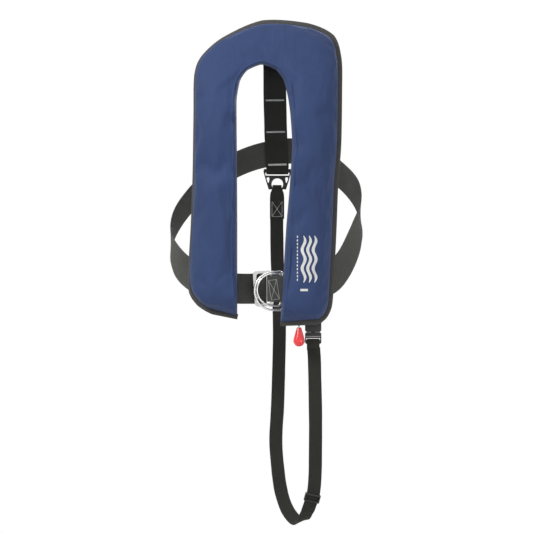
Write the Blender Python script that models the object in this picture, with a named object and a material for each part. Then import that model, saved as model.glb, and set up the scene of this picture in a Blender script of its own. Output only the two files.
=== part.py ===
"""Inflatable life jacket: a packed cover with its bladder and inflator, and the webbing harness.

Run with: blender --background --python part.py
Metres, +Z up. The wearer's front faces -Y and +X is to the right seen from the front.
The origin is the top of the neck opening, where the collar rests on the nape.
Sizes below are in millimetres and are scaled by MM where a mesh is made.
"""

import math

import bmesh
import bpy
from mathutils import Matrix, Vector

MM = 0.001

# Driving dimensions, in millimetres
GAP = 0.3                # left between pieces that touch
COVER_DEPTH = 38.0       # packed thickness of the lobes
COLLAR_DEPTH = 30.0      # packed thickness behind the neck
SEAM_DEPTH = 4.4         # thickness where the two panels are sewn together
FABRIC = 1.6             # cover fabric, lined
BINDING_WIDTH = 9.0      # tape round the outer edge
BINDING_DEPTH = 7.6
COLLAR_CURL = 0.0021     # how fast the collar curls back, per mm
COLLAR_START = -120.0    # height where the curl begins
BELT_WIDTH = 50.0
BELT_HEIGHT = -371.0     # middle of the waist belt between the lobes
BELT_DEPTH = 16.8        # its depth there
YOKE_WIDTH = 38.0
CROTCH_WIDTH = 22.0
WEBBING = 1.6
CYLINDER_RADIUS = 13.0
INFLATOR_X = 69.0
INFLATOR_Y = -14.5
CORD_X = 52.0
CORD_Y = -0.8
CORD_DIAMETER = 2.4
TUBE_X = -92.0
TUBE_Y = -6.0
BUCKLE_X = 75.5
BUCKLE_Y = 18.0

# Stations round the U of the cover, from the bottom of one lobe over the collar to the
# bottom of the other: inner edge x, z and outer edge x, z.
STATIONS = [
    (-50, -422, -95, -413), (-50, -400, -116, -399), (-50, -375, -129.5, -379),
    (-50, -337, -131.5, -348), (-50, -258, -127, -266), (-50.5, -175, -124, -184),
    (-51, -101, -122.5, -85), (-51, -57, -121.5, -18), (-45.5, -27, -110, 13.5),
    (-34, -10, -75, 45), (-10, 0, -9, 74), (14, -9.5, 67, 69.5),
    (27, -27, 110.5, 49), (34, -55, 123, 9), (38, -85, 123.5, -52),
    (41, -134, 122, -134), (37, -200, 117, -200), (31, -269, 114, -278),
    (27, -334, 110, -357), (25, -377, 107, -398), (22.5, -408, 99, -418),
    (21, -433, 85, -431),
]

# Waist belt behind the cover and round the wearer: x, y, z, lean of its width in degrees
BELT_ROUTE = [
    (-1.3, 16.8, -371, 0), (-50, 17, -371, 0), (-90, 24.5, -366, 2), (-127, 40, -348, 8),
    (-150, 58, -323, 14), (-160, 84, -294, 20), (-152, 112, -259, 26), (-126, 136, -222, 32),
    (-88, 149, -188, 34), (-48, 157, -163, 33), (-4, 160, -148, 33), (42, 160, -142, 33),
    (84, 153, -156, 30), (121, 138, -182, 26), (146, 116, -211, 18), (154, 92, -245, 10),
    (147, 70, -282, 4), (131, 50, -322, 6), (109, 33, -351, 4), (86, 23.5, -363, 2),
    (60, 19, -369, 0), (34, 17, -371, 0), (4, 16.8, -371, 0),
]
BELT_STEPS = 4
FRAME_LEAN = 4.0
FRAME_MIDDLE = -7.0
BELT_PIECES = {"belt_left_front": (0, 3), "belt_left_side": (3, 8), "belt_back": (8, 13),
               "belt_right_side": (13, 17), "belt_right_front": (17, 22)}

# Yoke strap down the back: x, y, z
YOKE_ROUTE = [(12, 66, 50), (12, 44.5, 5), (12, 47, -22), (12.3, 76, -58), (13.2, 110, -92),
              (14.2, 139.6, -122), (15.5, 155.2, -146), (16.5, 170.0, -166)]
YOKE_RETURN = [(16.5, 181.4, -166.5), (16.2, 179, -160), (15.5, 168.8, -146), (14.2, 150.2, -121),
               (13.5, 133, -105)]
SLIDER_X = 16.5
SLIDER_Y = 176.3

# Crotch strap from the back slider, under the wearer and up to the side buckle:
# x, y, z, lean of its width in degrees
CROTCH_ROUTE = [
    (15.5, 177, -257, 0), (16.5, 177.5, -330, 2), (20, 173, -440, 2), (17, 164, -560, 0),
    (14, 154, -622, 2), (16.5, 142, -664, 6), (22, 124, -706, 14), (32, 101, -737, 24),
    (46, 80, -755, 26), (57, 60, -756, 24), (64.5, 48, -743, 20), (69.5, 42.5, -731, 16),
    (76, 35.5, -709, 12), (78.6, 30, -680, 3), (79.2, 26, -640, 0), (79.3, 22, -570, 0),
    (77.6, 18.8, -495, 0), (76.6, 18, -475.5, 0),
]
CROTCH_STEPS = 3
CROTCH_PIECES = {"crotch_strap_rear": (0, 6), "crotch_strap_under": (6, 10), "crotch_strap_front": (10, 17)}
GLIDE_HEIGHT = -719.0

COLOURS = {
    "cover": ((0.055, 0.085, 0.19), 0.75, 0.0),
    "binding": ((0.045, 0.045, 0.042), 0.85, 0.0),
    "webbing": ((0.025, 0.025, 0.022), 0.85, 0.0),
    "belt": ((0.06, 0.06, 0.056), 0.85, 0.0),
    "bladder": ((0.85, 0.55, 0.03), 0.5, 0.0),
    "plastic": ((0.02, 0.02, 0.02), 0.4, 0.0),
    "toggle": ((0.85, 0.04, 0.05), 0.2, 0.0),
    "steel": ((0.6, 0.6, 0.6), 0.25, 1.0),
    "zinc": ((0.45, 0.46, 0.47), 0.35, 1.0),
    "grey": ((0.46, 0.46, 0.46), 0.7, 0.0),
    "green": ((0.03, 0.4, 0.08), 0.4, 0.0),
    "orange": ((0.9, 0.25, 0.02), 0.4, 0.0),
}


def clear_scene():
    for item in list(bpy.data.objects):
        bpy.data.objects.remove(item)


def material(name):
    found = bpy.data.materials.get(name)
    if found:
        return found
    colour, roughness, metallic = COLOURS[name]
    made = bpy.data.materials.new(name)
    made.use_nodes = True
    shader = made.node_tree.nodes["Principled BSDF"]
    shader.inputs["Base Color"].default_value = (*colour, 1.0)
    shader.inputs["Roughness"].default_value = roughness
    shader.inputs["Metallic"].default_value = metallic
    return made


def finish_object(name, bm, colour, origin=(0, 0, 0), smooth_angle=40):
    """An object from a bmesh in millimetres, with its own origin."""
    bmesh.ops.recalc_face_normals(bm, faces=bm.faces)
    if bm.calc_volume(signed=True) < 0:
        bmesh.ops.reverse_faces(bm, faces=bm.faces)
    bm.transform(Matrix.Translation(-Vector(origin)))
    bm.transform(Matrix.Scale(MM, 4))
    mesh = bpy.data.meshes.new(name)
    bm.to_mesh(mesh)
    bm.free()
    mesh.shade_smooth()
    mesh.set_sharp_from_angle(angle=math.radians(smooth_angle))
    made = bpy.data.objects.new(name, mesh)
    made.location = Vector(origin) * MM
    made.data.materials.append(material(colour))
    bpy.context.scene.collection.objects.link(made)
    return made


def curve_points(points, steps):
    """A Catmull-Rom curve through tuples of any length, with this many steps to each span."""
    points = [Vector(p) for p in points]
    padded = [2 * points[0] - points[1]] + points + [2 * points[-1] - points[-2]]
    made = []
    for i in range(1, len(padded) - 2):
        a, b, c, d = padded[i - 1:i + 3]
        for k in range(steps):
            t = k / steps
            made.append(0.5 * (2 * b + (c - a) * t + (2 * a - 5 * b + 4 * c - d) * t * t
                               + (3 * b - a - 3 * c + d) * t ** 3))
    made.append(points[-1])
    return made


def loft(name, rings, colour, origin=(0, 0, 0), strip_caps=False):
    """A closed body through rings of equal point counts. strip_caps closes a thin C-shaped end."""
    bm = bmesh.new()
    rows = [[bm.verts.new(p) for p in ring] for ring in rings]
    count = len(rows[0])
    for low, high in zip(rows, rows[1:]):
        for i in range(count):
            j = (i + 1) % count
            bm.faces.new((low[i], low[j], high[j], high[i]))
    for row in (rows[0], rows[-1]):
        if strip_caps:
            for i in range(count // 2 - 1):
                bm.faces.new((row[i], row[i + 1], row[count - 2 - i], row[count - 1 - i]))
        else:
            bm.faces.new(row)
    return finish_object(name, bm, colour, origin)


def strap_frames(path, widths):
    """Width and normal directions along a path, from a wanted width direction at each point."""
    frames = []
    for i, point in enumerate(path):
        along = (path[min(i + 1, len(path) - 1)] - path[max(i - 1, 0)]).normalized()
        across = (widths[i] - along * widths[i].dot(along)).normalized()
        frames.append((point, across, along.cross(across)))
    return frames


def strap_rings(frames, width, thickness):
    """Rectangular sections at each frame. width is one number or one for each frame."""
    rings = []
    for i, (point, across, normal) in enumerate(frames):
        w = across * (width[i] if isinstance(width, list) else width) / 2
        n = normal * thickness / 2
        rings.append([point - w - n, point + w - n, point + w + n, point - w + n])
    return rings


def strap(name, path, widths, width, thickness, colour="webbing", origin=(0, 0, 0)):
    """Flat webbing swept along a path."""
    return loft(name, strap_rings(strap_frames(path, widths), width, thickness), colour, origin)


def split_strap(pieces, steps, frames, width, colour):
    """One long webbing in stretches that meet with a gap, each a body of its own."""
    for name, (first, last) in pieces.items():
        part = frames[first * steps:last * steps + 1]
        if first:
            point, across, normal = part[0]
            along = (part[1][0] - point).normalized()
            part = [(point + along * 2 * GAP, across, normal)] + part[1:]
        loft(name, strap_rings(part, width, WEBBING), colour)


def belt_frames():
    """Waist belt: upright at the front, its top leaning forward towards the back."""
    samples = curve_points(BELT_ROUTE, BELT_STEPS)
    lean = [math.radians(s[3]) for s in samples]
    widths = [Vector((0, -math.sin(a), math.cos(a))) for a in lean]
    return strap_frames([Vector(s[:3]) for s in samples], widths)


def crotch_frames():
    """Crotch webbing: its width runs across the jacket, leaning by the route's angle."""
    samples = curve_points(CROTCH_ROUTE, CROTCH_STEPS)
    widths = [Vector((math.cos(math.radians(s[3])), 0, math.sin(math.radians(s[3])))) for s in samples]
    return strap_frames([Vector(s[:3]) for s in samples], widths)


def cross_strap(name, route, width, thickness=WEBBING, steps=3):
    """Webbing whose width runs along X."""
    path = [Vector(s[:3]) for s in curve_points(route, steps)]
    return strap(name, path, [Vector((1, 0, 0))] * len(path), width, thickness)


def turned(name, profile, place, colour, axis="Z", segments=20, origin=None):
    """A body turned round an axis from (radius, height) points that start and end on the axis."""
    bm = bmesh.new()
    verts = [bm.verts.new((r, 0, h)) for r, h in profile]
    edges = [bm.edges.new(pair) for pair in zip(verts, verts[1:])]
    bmesh.ops.spin(bm, geom=verts + edges, cent=(0, 0, 0), axis=(0, 0, 1),
                   angle=math.tau, steps=segments, use_merge=True)
    bmesh.ops.remove_doubles(bm, verts=bm.verts, dist=1e-4)
    turn = {"Z": Matrix.Identity(4), "Y": Matrix.Rotation(math.radians(-90), 4, "X"),
            "X": Matrix.Rotation(math.radians(90), 4, "Y")}[axis]
    bm.transform(Matrix.Translation(place) @ turn)
    return finish_object(name, bm, colour, origin or place)


def tube_profile(inner, outer, low, high):
    """A ring's section for ring_body."""
    return [(inner, low), (outer, low), (outer, high), (inner, high)]


def ring_body(name, section, place, colour, axis="Z", segments=20, origin=None):
    """A body turned from a closed section that stays clear of the axis."""
    bm = bmesh.new()
    verts = [bm.verts.new((r, 0, h)) for r, h in section]
    edges = [bm.edges.new((verts[i], verts[(i + 1) % len(verts)])) for i in range(len(verts))]
    bmesh.ops.spin(bm, geom=verts + edges, cent=(0, 0, 0), axis=(0, 0, 1),
                   angle=math.tau, steps=segments, use_merge=True)
    bmesh.ops.remove_doubles(bm, verts=bm.verts, dist=1e-4)
    turn = Matrix.Rotation(math.radians(-90), 4, "X") if axis == "Y" else Matrix.Identity(4)
    bm.transform(Matrix.Translation(place) @ turn)
    return finish_object(name, bm, colour, origin or place)


def block(name, low, high, colour, bevel=0.0, origin=None, cutter=False):
    """A box between two corners, with rounded edges where a bevel is given."""
    bm = bmesh.new()
    bmesh.ops.create_cube(bm, size=1)
    size = Vector(high) - Vector(low)
    middle = (Vector(high) + Vector(low)) / 2
    bm.transform(Matrix.Translation(middle) @ Matrix.Diagonal((*size, 1)))
    if bevel:
        bmesh.ops.bevel(bm, geom=bm.edges[:], offset=bevel, segments=2, profile=0.5, affect="EDGES")
    made = finish_object(name, bm, colour, origin or middle)
    if cutter:
        hide_cutter(made)
    return made


def plate(name, outline, y_low, y_high, colour, origin=(0, 0, 0), cutter=False):
    """An outline of (x, z) points given thickness along Y."""
    bm = bmesh.new()
    face = bm.faces.new([bm.verts.new((x, y_low, z)) for x, z in outline])
    pushed = bmesh.ops.extrude_face_region(bm, geom=[face])["geom"]
    bmesh.ops.translate(bm, verts=[v for v in pushed if isinstance(v, bmesh.types.BMVert)],
                        vec=(0, y_high - y_low, 0))
    made = finish_object(name, bm, colour, origin)
    if cutter:
        hide_cutter(made)
    return made


def hide_cutter(item):
    item.hide_render = True
    item.display_type = "WIRE"


def boolean(target, cutter, operation="DIFFERENCE"):
    modifier = target.modifiers.new(operation.lower(), "BOOLEAN")
    modifier.operation = operation
    modifier.object = cutter
    modifier.solver = "EXACT"
    hide_cutter(cutter)


def rounded_box(left, right, low, high, radius, corner_steps=4):
    """(x, z) points of a rectangle with round corners."""
    points = []
    for cx, cz, start in ((right - radius, high - radius, 0), (left + radius, high - radius, 90),
                          (left + radius, low + radius, 180), (right - radius, low + radius, 270)):
        for k in range(corner_steps + 1):
            angle = math.radians(start + 90 * k / corner_steps)
            points.append((cx + radius * math.cos(angle), cz + radius * math.sin(angle)))
    return points


# ---------------------------------------------------------------- cover

def back_depth(x, z):
    """Y of the front of the back panel: curled back at the collar, round the chest across."""
    curl = COLLAR_CURL * max(z - COLLAR_START, 0) ** 2
    across = (0.0016 if x < -5 else 0.0012) * (x + 5) ** 2
    bottom = min(max((-375 - z) / 50, 0), 1)
    return curl + across - 3.4 * bottom * bottom * (3 - 2 * bottom)


def cover_lines(steps=2):
    """Inner and outer edge of the cover as lists of (x, z)."""
    samples = curve_points(STATIONS, steps)
    return [Vector(s[:2]) for s in samples], [Vector(s[2:]) for s in samples]


def inset_line(line, distance):
    """The line moved to its own right side, which is the inner side of the outer edge."""
    moved = []
    for i, point in enumerate(line):
        along = (line[min(i + 1, len(line) - 1)] - line[max(i - 1, 0)]).normalized()
        moved.append(point + Vector((along.y, -along.x)) * distance)
    return moved


def panel_lines():
    """Edges of the fabric panels, which stop short of the binding."""
    inner, outer = cover_lines()
    outer = inset_line(outer, BINDING_WIDTH + GAP)
    for end, other in ((0, 1), (-1, -2)):
        for line in (inner, outer):
            line[end] = line[end] + (line[other] - line[end]).normalized() * (BINDING_WIDTH + 1.5)
    return inner, outer


def lobe_fill(i, count):
    """Share of the full depth at a station: the panels come together at the lobe bottoms."""
    near = min(i, count - 1 - i) / 4.0
    return math.sin(min(near, 1) * math.pi / 2) ** 0.7


def full_depth(i, count):
    middle = 1 - abs(2 * i / (count - 1) - 1)
    collar = max(0.0, min((middle - 0.55) / 0.3, 1))
    depth = COVER_DEPTH + (COLLAR_DEPTH - COVER_DEPTH) * collar
    return SEAM_DEPTH + (depth - SEAM_DEPTH) * lobe_fill(i, count)


def front_profile(a, depth):
    """Depth of the front panel at a share of the width: a round fold inside, a seam outside."""
    fold, shoulder = 0.26, 0.72
    if a < fold:
        return depth * math.sqrt(max(1 - ((fold - a) / fold) ** 2, 0))
    if a < shoulder:
        return depth
    t = (a - shoulder) / (1 - shoulder)
    return SEAM_DEPTH + (depth - SEAM_DEPTH) * math.sqrt(max(1 - t ** 2.2, 0))


COVER_PIECES = {"cover_front_left": (0, 15), "cover_front_collar": (15, 26), "cover_front_right": (26, 40)}
SHARES = (0.0, 0.02, 0.07, 0.15, 0.26, 0.5, 0.72, 0.84, 0.93, 0.98, 1.0)
SLOPE_CLOTH = 1.5  # cloth measured along Y where the panel slopes down to the lobe bottom


def cover_point(inner, outer, a, forward):
    """World point on the cover at a share across and a distance forward of the back panel."""
    flat = inner.lerp(outer, a)
    return Vector((flat.x, back_depth(flat.x, flat.y) - forward, flat.y))


def make_cover_front():
    """The front cloth in three panels, folded round the neck edge and flat at the sewn edge."""
    inner, outer = panel_lines()
    rings = []
    for i, (a, b) in enumerate(zip(inner, outer)):
        if i in (1, len(inner) - 2):  # the lobe bottoms close in one long slope
            continue
        width = (b - a).length
        depth = full_depth(i, len(inner))
        cloth = FABRIC * (SLOPE_CLOTH if i in (2, len(inner) - 3) else 1)
        skin = [(s, front_profile(s, depth)) for s in SHARES]
        lining = []
        for s, t in reversed(skin):
            inward = s + (FABRIC / width) * (1 if s < 0.2 else 0)
            held = min(inward, 1.0)
            lining.append((held, max(front_profile(s, depth) - (cloth if s > 0.02 else 0), 0)))
        rings.append([cover_point(a, b, s, t) for s, t in skin + lining])
    for name, (first, last) in COVER_PIECES.items():
        part = rings[first:last + 1]
        if first:
            share = 2 * GAP / (part[1][0] - part[0][0]).length
            part[0] = [p.lerp(q, share) for p, q in zip(part[0], part[1])]
        loft(name, part, "cover", strip_caps=True)


def make_cover_back():
    inner, outer = panel_lines()
    shares = (0.0, 0.2, 0.45, 0.7, 1.0)
    rings = []
    for a, b in zip(inner, outer):
        front = [cover_point(a, b, s, -GAP) for s in shares]
        back = [cover_point(a, b, s, -GAP - FABRIC) for s in reversed(shares)]
        rings.append(front + back)
    return loft("cover_back_panel", rings, "cover", strip_caps=True)


def make_binding():
    """One tape round the outer edge and across both lobe bottoms."""
    inner, outer = cover_lines()
    left_end = [inner[0].lerp(outer[0], t) for t in (0, 0.45, 0.85)]
    right_end = [outer[-1].lerp(inner[-1], t) for t in (0.15, 0.55, 1)]
    line = left_end + outer[1:-1] + right_end
    edge_in = inset_line(line, BINDING_WIDTH)
    rings = []
    for a, b in zip(edge_in, line):
        rings.append([cover_point(a, b, share, forward) for share, forward in
                      ((0, -2.4), (1, -2.4), (1, BINDING_DEPTH - 2.4), (0, BINDING_DEPTH - 2.4))])
    made = loft("edge_binding", rings, "binding")
    hole = turned("cord_hole_cutter", [(0, -14), (1.8, -14), (1.8, 14), (0, 14)],
                  (CORD_X, CORD_Y, -428), "binding", segments=12)
    boolean(made, hole)
    return made


def make_bladder():
    """The folded bladder: narrow in the lobe with the oral tube, wide in the collar."""
    inner, outer = panel_lines()
    count = len(inner)
    first, last = 7, 31
    rings = []
    for i in range(first, last + 1):
        depth = full_depth(i, count) - 5.0
        a, b = inner[i], outer[i]
        widen = min(max((i - 11) / 4, 0), 1)
        low, high = 0.12, 0.42 + 0.34 * widen
        ring = [(low, 5), (low + 0.03, 2), (high - 0.03, 2), (high, 5), (high, depth - 8),
                (high - 0.06, depth - 1), (low + 0.08, depth - 1), (low, depth - 9)]
        rings.append([cover_point(a, b, s, t) for s, t in ring])
    return loft("folded_bladder", rings, "bladder")


# ---------------------------------------------------------------- inflator

def make_inflator():
    x, y = INFLATOR_X, INFLATOR_Y
    body = block("inflator_body", (x - 9.5, y - 9, -396), (x + 9.5, y + 9, -346), "plastic", bevel=2)
    bore = turned("inflator_bore_cutter", [(0, -60), (3.2, -60), (3.2, -2), (4.8, -2), (4.8, 12), (0, 12)],
                  (x, y, -350), "plastic", segments=16)
    boolean(body, bore)
    cap = turned("firing_cap", [(0, -411), (8, -411), (9.5, -409), (9.5, -396.4), (0, -396.4)],
                 (x, y, 0), "plastic", origin=(x, y, -404))
    nut = turned("manifold_cap_nut", [(0, 0), (6.5, 0), (6.5, 4.5), (0, 4.5)],
                 (x, y - 9.3 - 4.5, -372), "plastic", axis="Y", segments=12)
    manifold = turned("bladder_manifold", [(0, 0), (6.5, 0), (6.5, 6), (10, 6.3), (10, 8.3), (0, 8.3)],
                      (x + 2, y + 9.3, -366), "plastic", axis="Y", segments=16)
    pin = turned("piercing_pin", [(0, -388), (1.6, -388), (1.6, -362), (0.4, -358), (0, -358)],
                 (x, y, 0), "steel", segments=12, origin=(x, y, -373))
    clip = block("indicator_clip", (x + 9.8, y - 4, -392), (x + 11.6, y + 4, -378), "green", bevel=0.5)
    cylinder = turned("co2_cylinder", [(0, -351.6), (4.2, -351.6), (4.2, -344), (8, -342), (12, -336),
                                       (CYLINDER_RADIUS, -329), (CYLINDER_RADIUS, -236), (11.5, -228),
                                       (7, -221), (0, -219)],
                      (x, y, 0), "zinc", segments=24, origin=(x, y, -345))
    return [body, cap, nut, manifold, pin, clip, cylinder]


def make_spring():
    """Return spring round the piercing pin."""
    turns, radius, wire = 4.5, 2.45, 0.5
    points = []
    for k in range(int(turns * 10) + 1):
        angle = math.tau * k / 10
        points.append(Vector((INFLATOR_X + radius * math.cos(angle), INFLATOR_Y + radius * math.sin(angle),
                              -385 + 14 * k / (turns * 10))))
    return round_rod("piercing_spring", points, wire, "steel", sides=5)


def round_rod(name, path, radius, colour, sides=8, closed=False, origin=(0, 0, 0)):
    """A round rod along a path of points."""
    rings = []
    count = len(path)
    guide = Vector((0.13, 0.91, 0.39)).normalized()
    for i, point in enumerate(path):
        if closed:
            along = (path[(i + 1) % count] - path[i - 1]).normalized()
        else:
            along = (path[min(i + 1, count - 1)] - path[max(i - 1, 0)]).normalized()
        side = (guide - along * guide.dot(along)).normalized()
        other = along.cross(side)
        rings.append([point + (side * math.cos(math.tau * k / sides) + other * math.sin(math.tau * k / sides))
                      * radius for k in range(sides)])
        guide = side
    if not closed:
        return loft(name, rings, colour, origin)
    bm = bmesh.new()
    rows = [[bm.verts.new(p) for p in ring] for ring in rings]
    for low, high in zip(rows, rows[1:] + rows[:1]):
        for k in range(sides):
            bm.faces.new((low[k], low[(k + 1) % sides], high[(k + 1) % sides], high[k]))
    return finish_object(name, bm, colour, origin)


def make_pull():
    """Manual lever, its pin, the lanyard and the toggle below the lobe."""
    pivot = Vector((INFLATOR_X - 7, 0, -388))
    tip = Vector((53.5, 0, -361))
    along = (tip - pivot).normalized()
    side = Vector((along.z, 0, -along.x))
    outline = []
    for centre, half, start in ((pivot, 4, 0), (tip, 2.6, 180)):
        for k in range(7):
            angle = math.radians(start + 180 * k / 6)
            spot = centre + side * half * math.cos(angle) - along * half * math.sin(angle)
            outline.append((spot.x, spot.z))
    lever = plate("manual_lever", outline, -5.1, -2.6, "orange", origin=(pivot.x, -4, pivot.z))
    hole = turned("lever_hole_cutter", [(0, -9), (1.8, -9), (1.8, 9), (0, 9)], (pivot.x, -5, pivot.z),
                  "orange", axis="Y", segments=12)
    boolean(lever, hole)
    pin = turned("lever_pivot_pin", [(0, 0), (1.5, 0), (1.5, 4.2), (2.8, 4.4), (2.8, 5.4), (0, 5.4)],
                 (pivot.x, INFLATOR_Y + 9.3, pivot.z), "steel", axis="Y", segments=12)
    cord = turned("pull_lanyard", [(0, -434), (CORD_DIAMETER / 2, -434), (CORD_DIAMETER / 2, -359), (0, -359)],
                  (CORD_X, CORD_Y, 0), "webbing", segments=8, origin=(CORD_X, CORD_Y, -434))
    toggle = turned("pull_toggle", toggle_profile(), (CORD_X, CORD_Y, -467.2), "toggle", segments=24,
                    origin=(CORD_X, CORD_Y, -434))
    return [lever, pin, cord, toggle]


def toggle_profile():
    """A drop: round below, narrow above."""
    height, radius = 32.9, 10.0
    points = [(0, 0)]
    for k in range(1, 12):
        t = k / 12
        points.append((radius * math.sin(math.pi * t ** 0.72) ** 0.85 * (1 - 0.42 * t), height * t))
    points.append((2.2, height - 0.2))
    points.append((0, height - 0.2))
    return points


def make_oral_tube():
    x, y = TUBE_X, TUBE_Y
    tube = ring_body("oral_tube", tube_profile(4.5, 7.5, -299, -204), (x, y, 0), "plastic",
                     origin=(x, y, -250))
    flange = ring_body("oral_tube_flange", tube_profile(7.8, 12, -208, -205), (x, y, 0), "bladder",
                       origin=(x, y, -206))
    valve = ring_body("oral_valve_housing", [(3, -318), (8.5, -318), (8.5, -299.3), (4, -299.3)],
                      (x, y, 0), "plastic", origin=(x, y, -309))
    stem = turned("oral_valve_stem", [(0, -321), (2.4, -321), (2.4, -303), (0, -303)], (x, y, 0),
                  "orange", segments=12, origin=(x, y, -312))
    cap = turned("oral_cap", [(0, -330), (9, -330), (10.4, -328), (10.4, -306), (8.9, -306),
                              (8.9, -327.5), (0, -327.5)],
                 (x, y, 0), "plastic", origin=(x, y, -318))
    whistle = make_whistle()
    route = [(TUBE_X - 6.6, TUBE_Y, -351.4), (TUBE_X - 12.4, TUBE_Y - 1, -347), (TUBE_X - 14.2, TUBE_Y, -334),
             (TUBE_X - 13.4, TUBE_Y, -312), (TUBE_X - 12.4, TUBE_Y, -297)]
    lanyard = round_rod("whistle_lanyard", curve_points(route, 3), 1.0, "webbing", sides=6)
    clamp = ring_body("lanyard_band", tube_profile(7.8, 11, -296, -290), (x, y, 0), "webbing",
                      segments=16, origin=(x, y, -293))
    return [tube, flange, valve, stem, cap, whistle, lanyard, clamp]


def make_whistle():
    """A flat double-chamber whistle with its blowing slot."""
    x, y = TUBE_X, TUBE_Y
    body = block("whistle", (x - 8, y - 4.5, -392), (x + 14, y + 4.5, -352.6), "orange", bevel=1.5)
    slot = block("whistle_slot_cutter", (x - 3, y - 6, -366), (x + 9, y + 0.5, -362), "orange")
    boolean(body, slot)
    bore = block("whistle_bore_cutter", (x - 5, y - 2, -388), (x + 11, y + 2, -350), "orange")
    boolean(body, bore)
    return body


# ---------------------------------------------------------------- belt and its buckle

def make_belt():
    """The waist belt in stretches. Its right end wraps the buckle's bars and is sewn to itself."""
    frames = belt_frames()
    pieces = dict(BELT_PIECES)
    first, last = pieces.pop("belt_right_front")
    split_strap(pieces, BELT_STEPS, frames, BELT_WIDTH, "belt")
    run = frames[first * BELT_STEPS:]
    start, across, normal = run[0]
    run[0] = (start + (run[1][0] - start).normalized() * 2 * GAP, across, normal)
    radius = 3.7
    path = []
    for k in range(1, 8):
        angle = math.pi * k / 8
        path.append(Vector((4 - radius * math.sin(angle), BELT_DEPTH - radius + radius * math.cos(angle),
                            BELT_HEIGHT)))
    front = BELT_DEPTH - 2 * radius
    path += [Vector((4, front, BELT_HEIGHT)), Vector((33, front, BELT_HEIGHT))]
    turn = strap_frames([run[-1][0]] + path, [Vector((0, 0, 1))] * (len(path) + 1))[1:]
    narrowing = [BELT_WIDTH] * (len(run) - 7) + [49.0, 48.0, 47.0, 46.0, 45.0, 44.5, 44.0] + [44.0] * len(turn)
    loft("belt_right_front", strap_rings(run + turn, narrowing, WEBBING), "belt")


def leaning(outline):
    """The outline turned in its own plane, so that its top moves to the left."""
    turn = math.radians(FRAME_LEAN)
    made = []
    for x, z in outline:
        across, up = x - FRAME_MIDDLE, z - BELT_HEIGHT
        made.append((FRAME_MIDDLE + across * math.cos(turn) - up * math.sin(turn),
                     BELT_HEIGHT + across * math.sin(turn) + up * math.cos(turn)))
    return made


def make_buckle_frame():
    """Flat stainless frame: its right bar lies in the belt loop, its left bar over the belt."""
    outline = leaning(rounded_box(-23, 9, -400.5, -341.5, 7))
    frame = plate("buckle_frame", outline, 12.0, 14.2, "steel", origin=(6.5, 13.1, BELT_HEIGHT))
    window = plate("buckle_window_cutter", leaning(rounded_box(-16.5, 4, -395.8, -346.2, 4)), 10, 16, "steel")
    boolean(frame, window)
    return frame


def d_path(width, half_height, bar_x, bar_y, lean, drop):
    """A D-ring's centre line: a straight bar, then a round bow on the left. It hangs on the belt's top edge."""
    flat = []
    straight = width - half_height
    for k in range(5):
        flat.append((0.0, -half_height + 2 * half_height * k / 4))
    flat.append((straight * 0.5, half_height))
    steps = 14
    for k in range(steps + 1):
        angle = math.pi / 2 - math.pi * k / steps
        flat.append((straight + half_height * math.cos(angle), half_height * math.sin(angle)))
    flat.append((straight * 0.5, -half_height))
    turn = math.radians(lean)
    return [Vector((bar_x - s * math.cos(turn), bar_y - s * math.sin(turn), BELT_HEIGHT - drop + h))
            for s, h in flat]


def make_d_rings():
    hinge = (23.2, 13.1, BELT_HEIGHT)
    inner = round_rod("d_ring_inner", d_path(39.5, 26.4, 21.3, 12.6, 13.5, 2.1), 1.5, "steel", closed=True, origin=hinge)
    outer = round_rod("d_ring_outer", d_path(48.3, 31.5, 25.3, 13.56, 13.5, 3.9), 1.5, "steel", closed=True, origin=hinge)
    return [inner, outer]


# ---------------------------------------------------------------- yoke and crotch strap

def make_yoke():
    """Yoke webbing, its folded end behind the belt, the patch on the collar and three bars."""
    cross_strap("yoke_strap", YOKE_ROUTE, YOKE_WIDTH)
    cross_strap("yoke_return", YOKE_RETURN, YOKE_WIDTH)
    path = curve_points(YOKE_ROUTE, 8)
    sewn = [point for point in path if point.z > 12]
    frames = strap_frames(sewn, [Vector((1, 0, 0))] * len(sewn))
    lifted = [point + Vector((0, 1, 0)) * 2.3 for point, _, _ in frames]
    strap("yoke_anchor_patch", lifted, [Vector((1, 0, 0))] * len(lifted), 46, 1.2)
    for number, height in enumerate((-57, -110, -164), 1):
        near = min(range(1, len(path) - 1), key=lambda i: abs(path[i].z - height))
        along = (path[near + 1] - path[near - 1]).normalized()
        normal = Vector((0, along.z, -along.y)).normalized()
        middle = path[near] + normal * (WEBBING / 2 + 0.9)
        ends = [middle - along * 2.1, middle + along * 2.1]
        strap(f"reflective_bar_{number}", ends, [Vector((1, 0, 0))] * 2, 29, 0.9, "grey")


def make_back_slider():
    """Moulded slider: a slot for the yoke strap, and a round eye for the crotch loop."""
    x, y, eye_z = SLIDER_X, SLIDER_Y, -197.0
    outline = [(x - 23, -171.5), (x + 23, -171.5), (x + 23.2, -176.5), (x + 14.5, -206)]
    for k in range(1, 8):
        angle = math.radians(-35 - 110 * k / 8)
        outline.append((x + 13 * math.cos(angle), eye_z + 13 * math.sin(angle)))
    outline += [(x - 14.5, -206), (x - 23.2, -176.5)]
    body = plate("back_slider", outline, y - 2.6, y + 2.6, "plastic")
    slot = plate("slider_slot_cutter", rounded_box(x - 20, x + 20, -182.6, -177.6, 1.5, 2), y - 5, y + 5, "plastic")
    eye = turned("slider_eye_cutter", [(0, -6), (9.6, -6), (9.6, 6), (0, 6)], (x, y, eye_z), "plastic",
                 axis="Y", segments=20)
    boolean(body, slot)
    boolean(body, eye)
    return body


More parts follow.
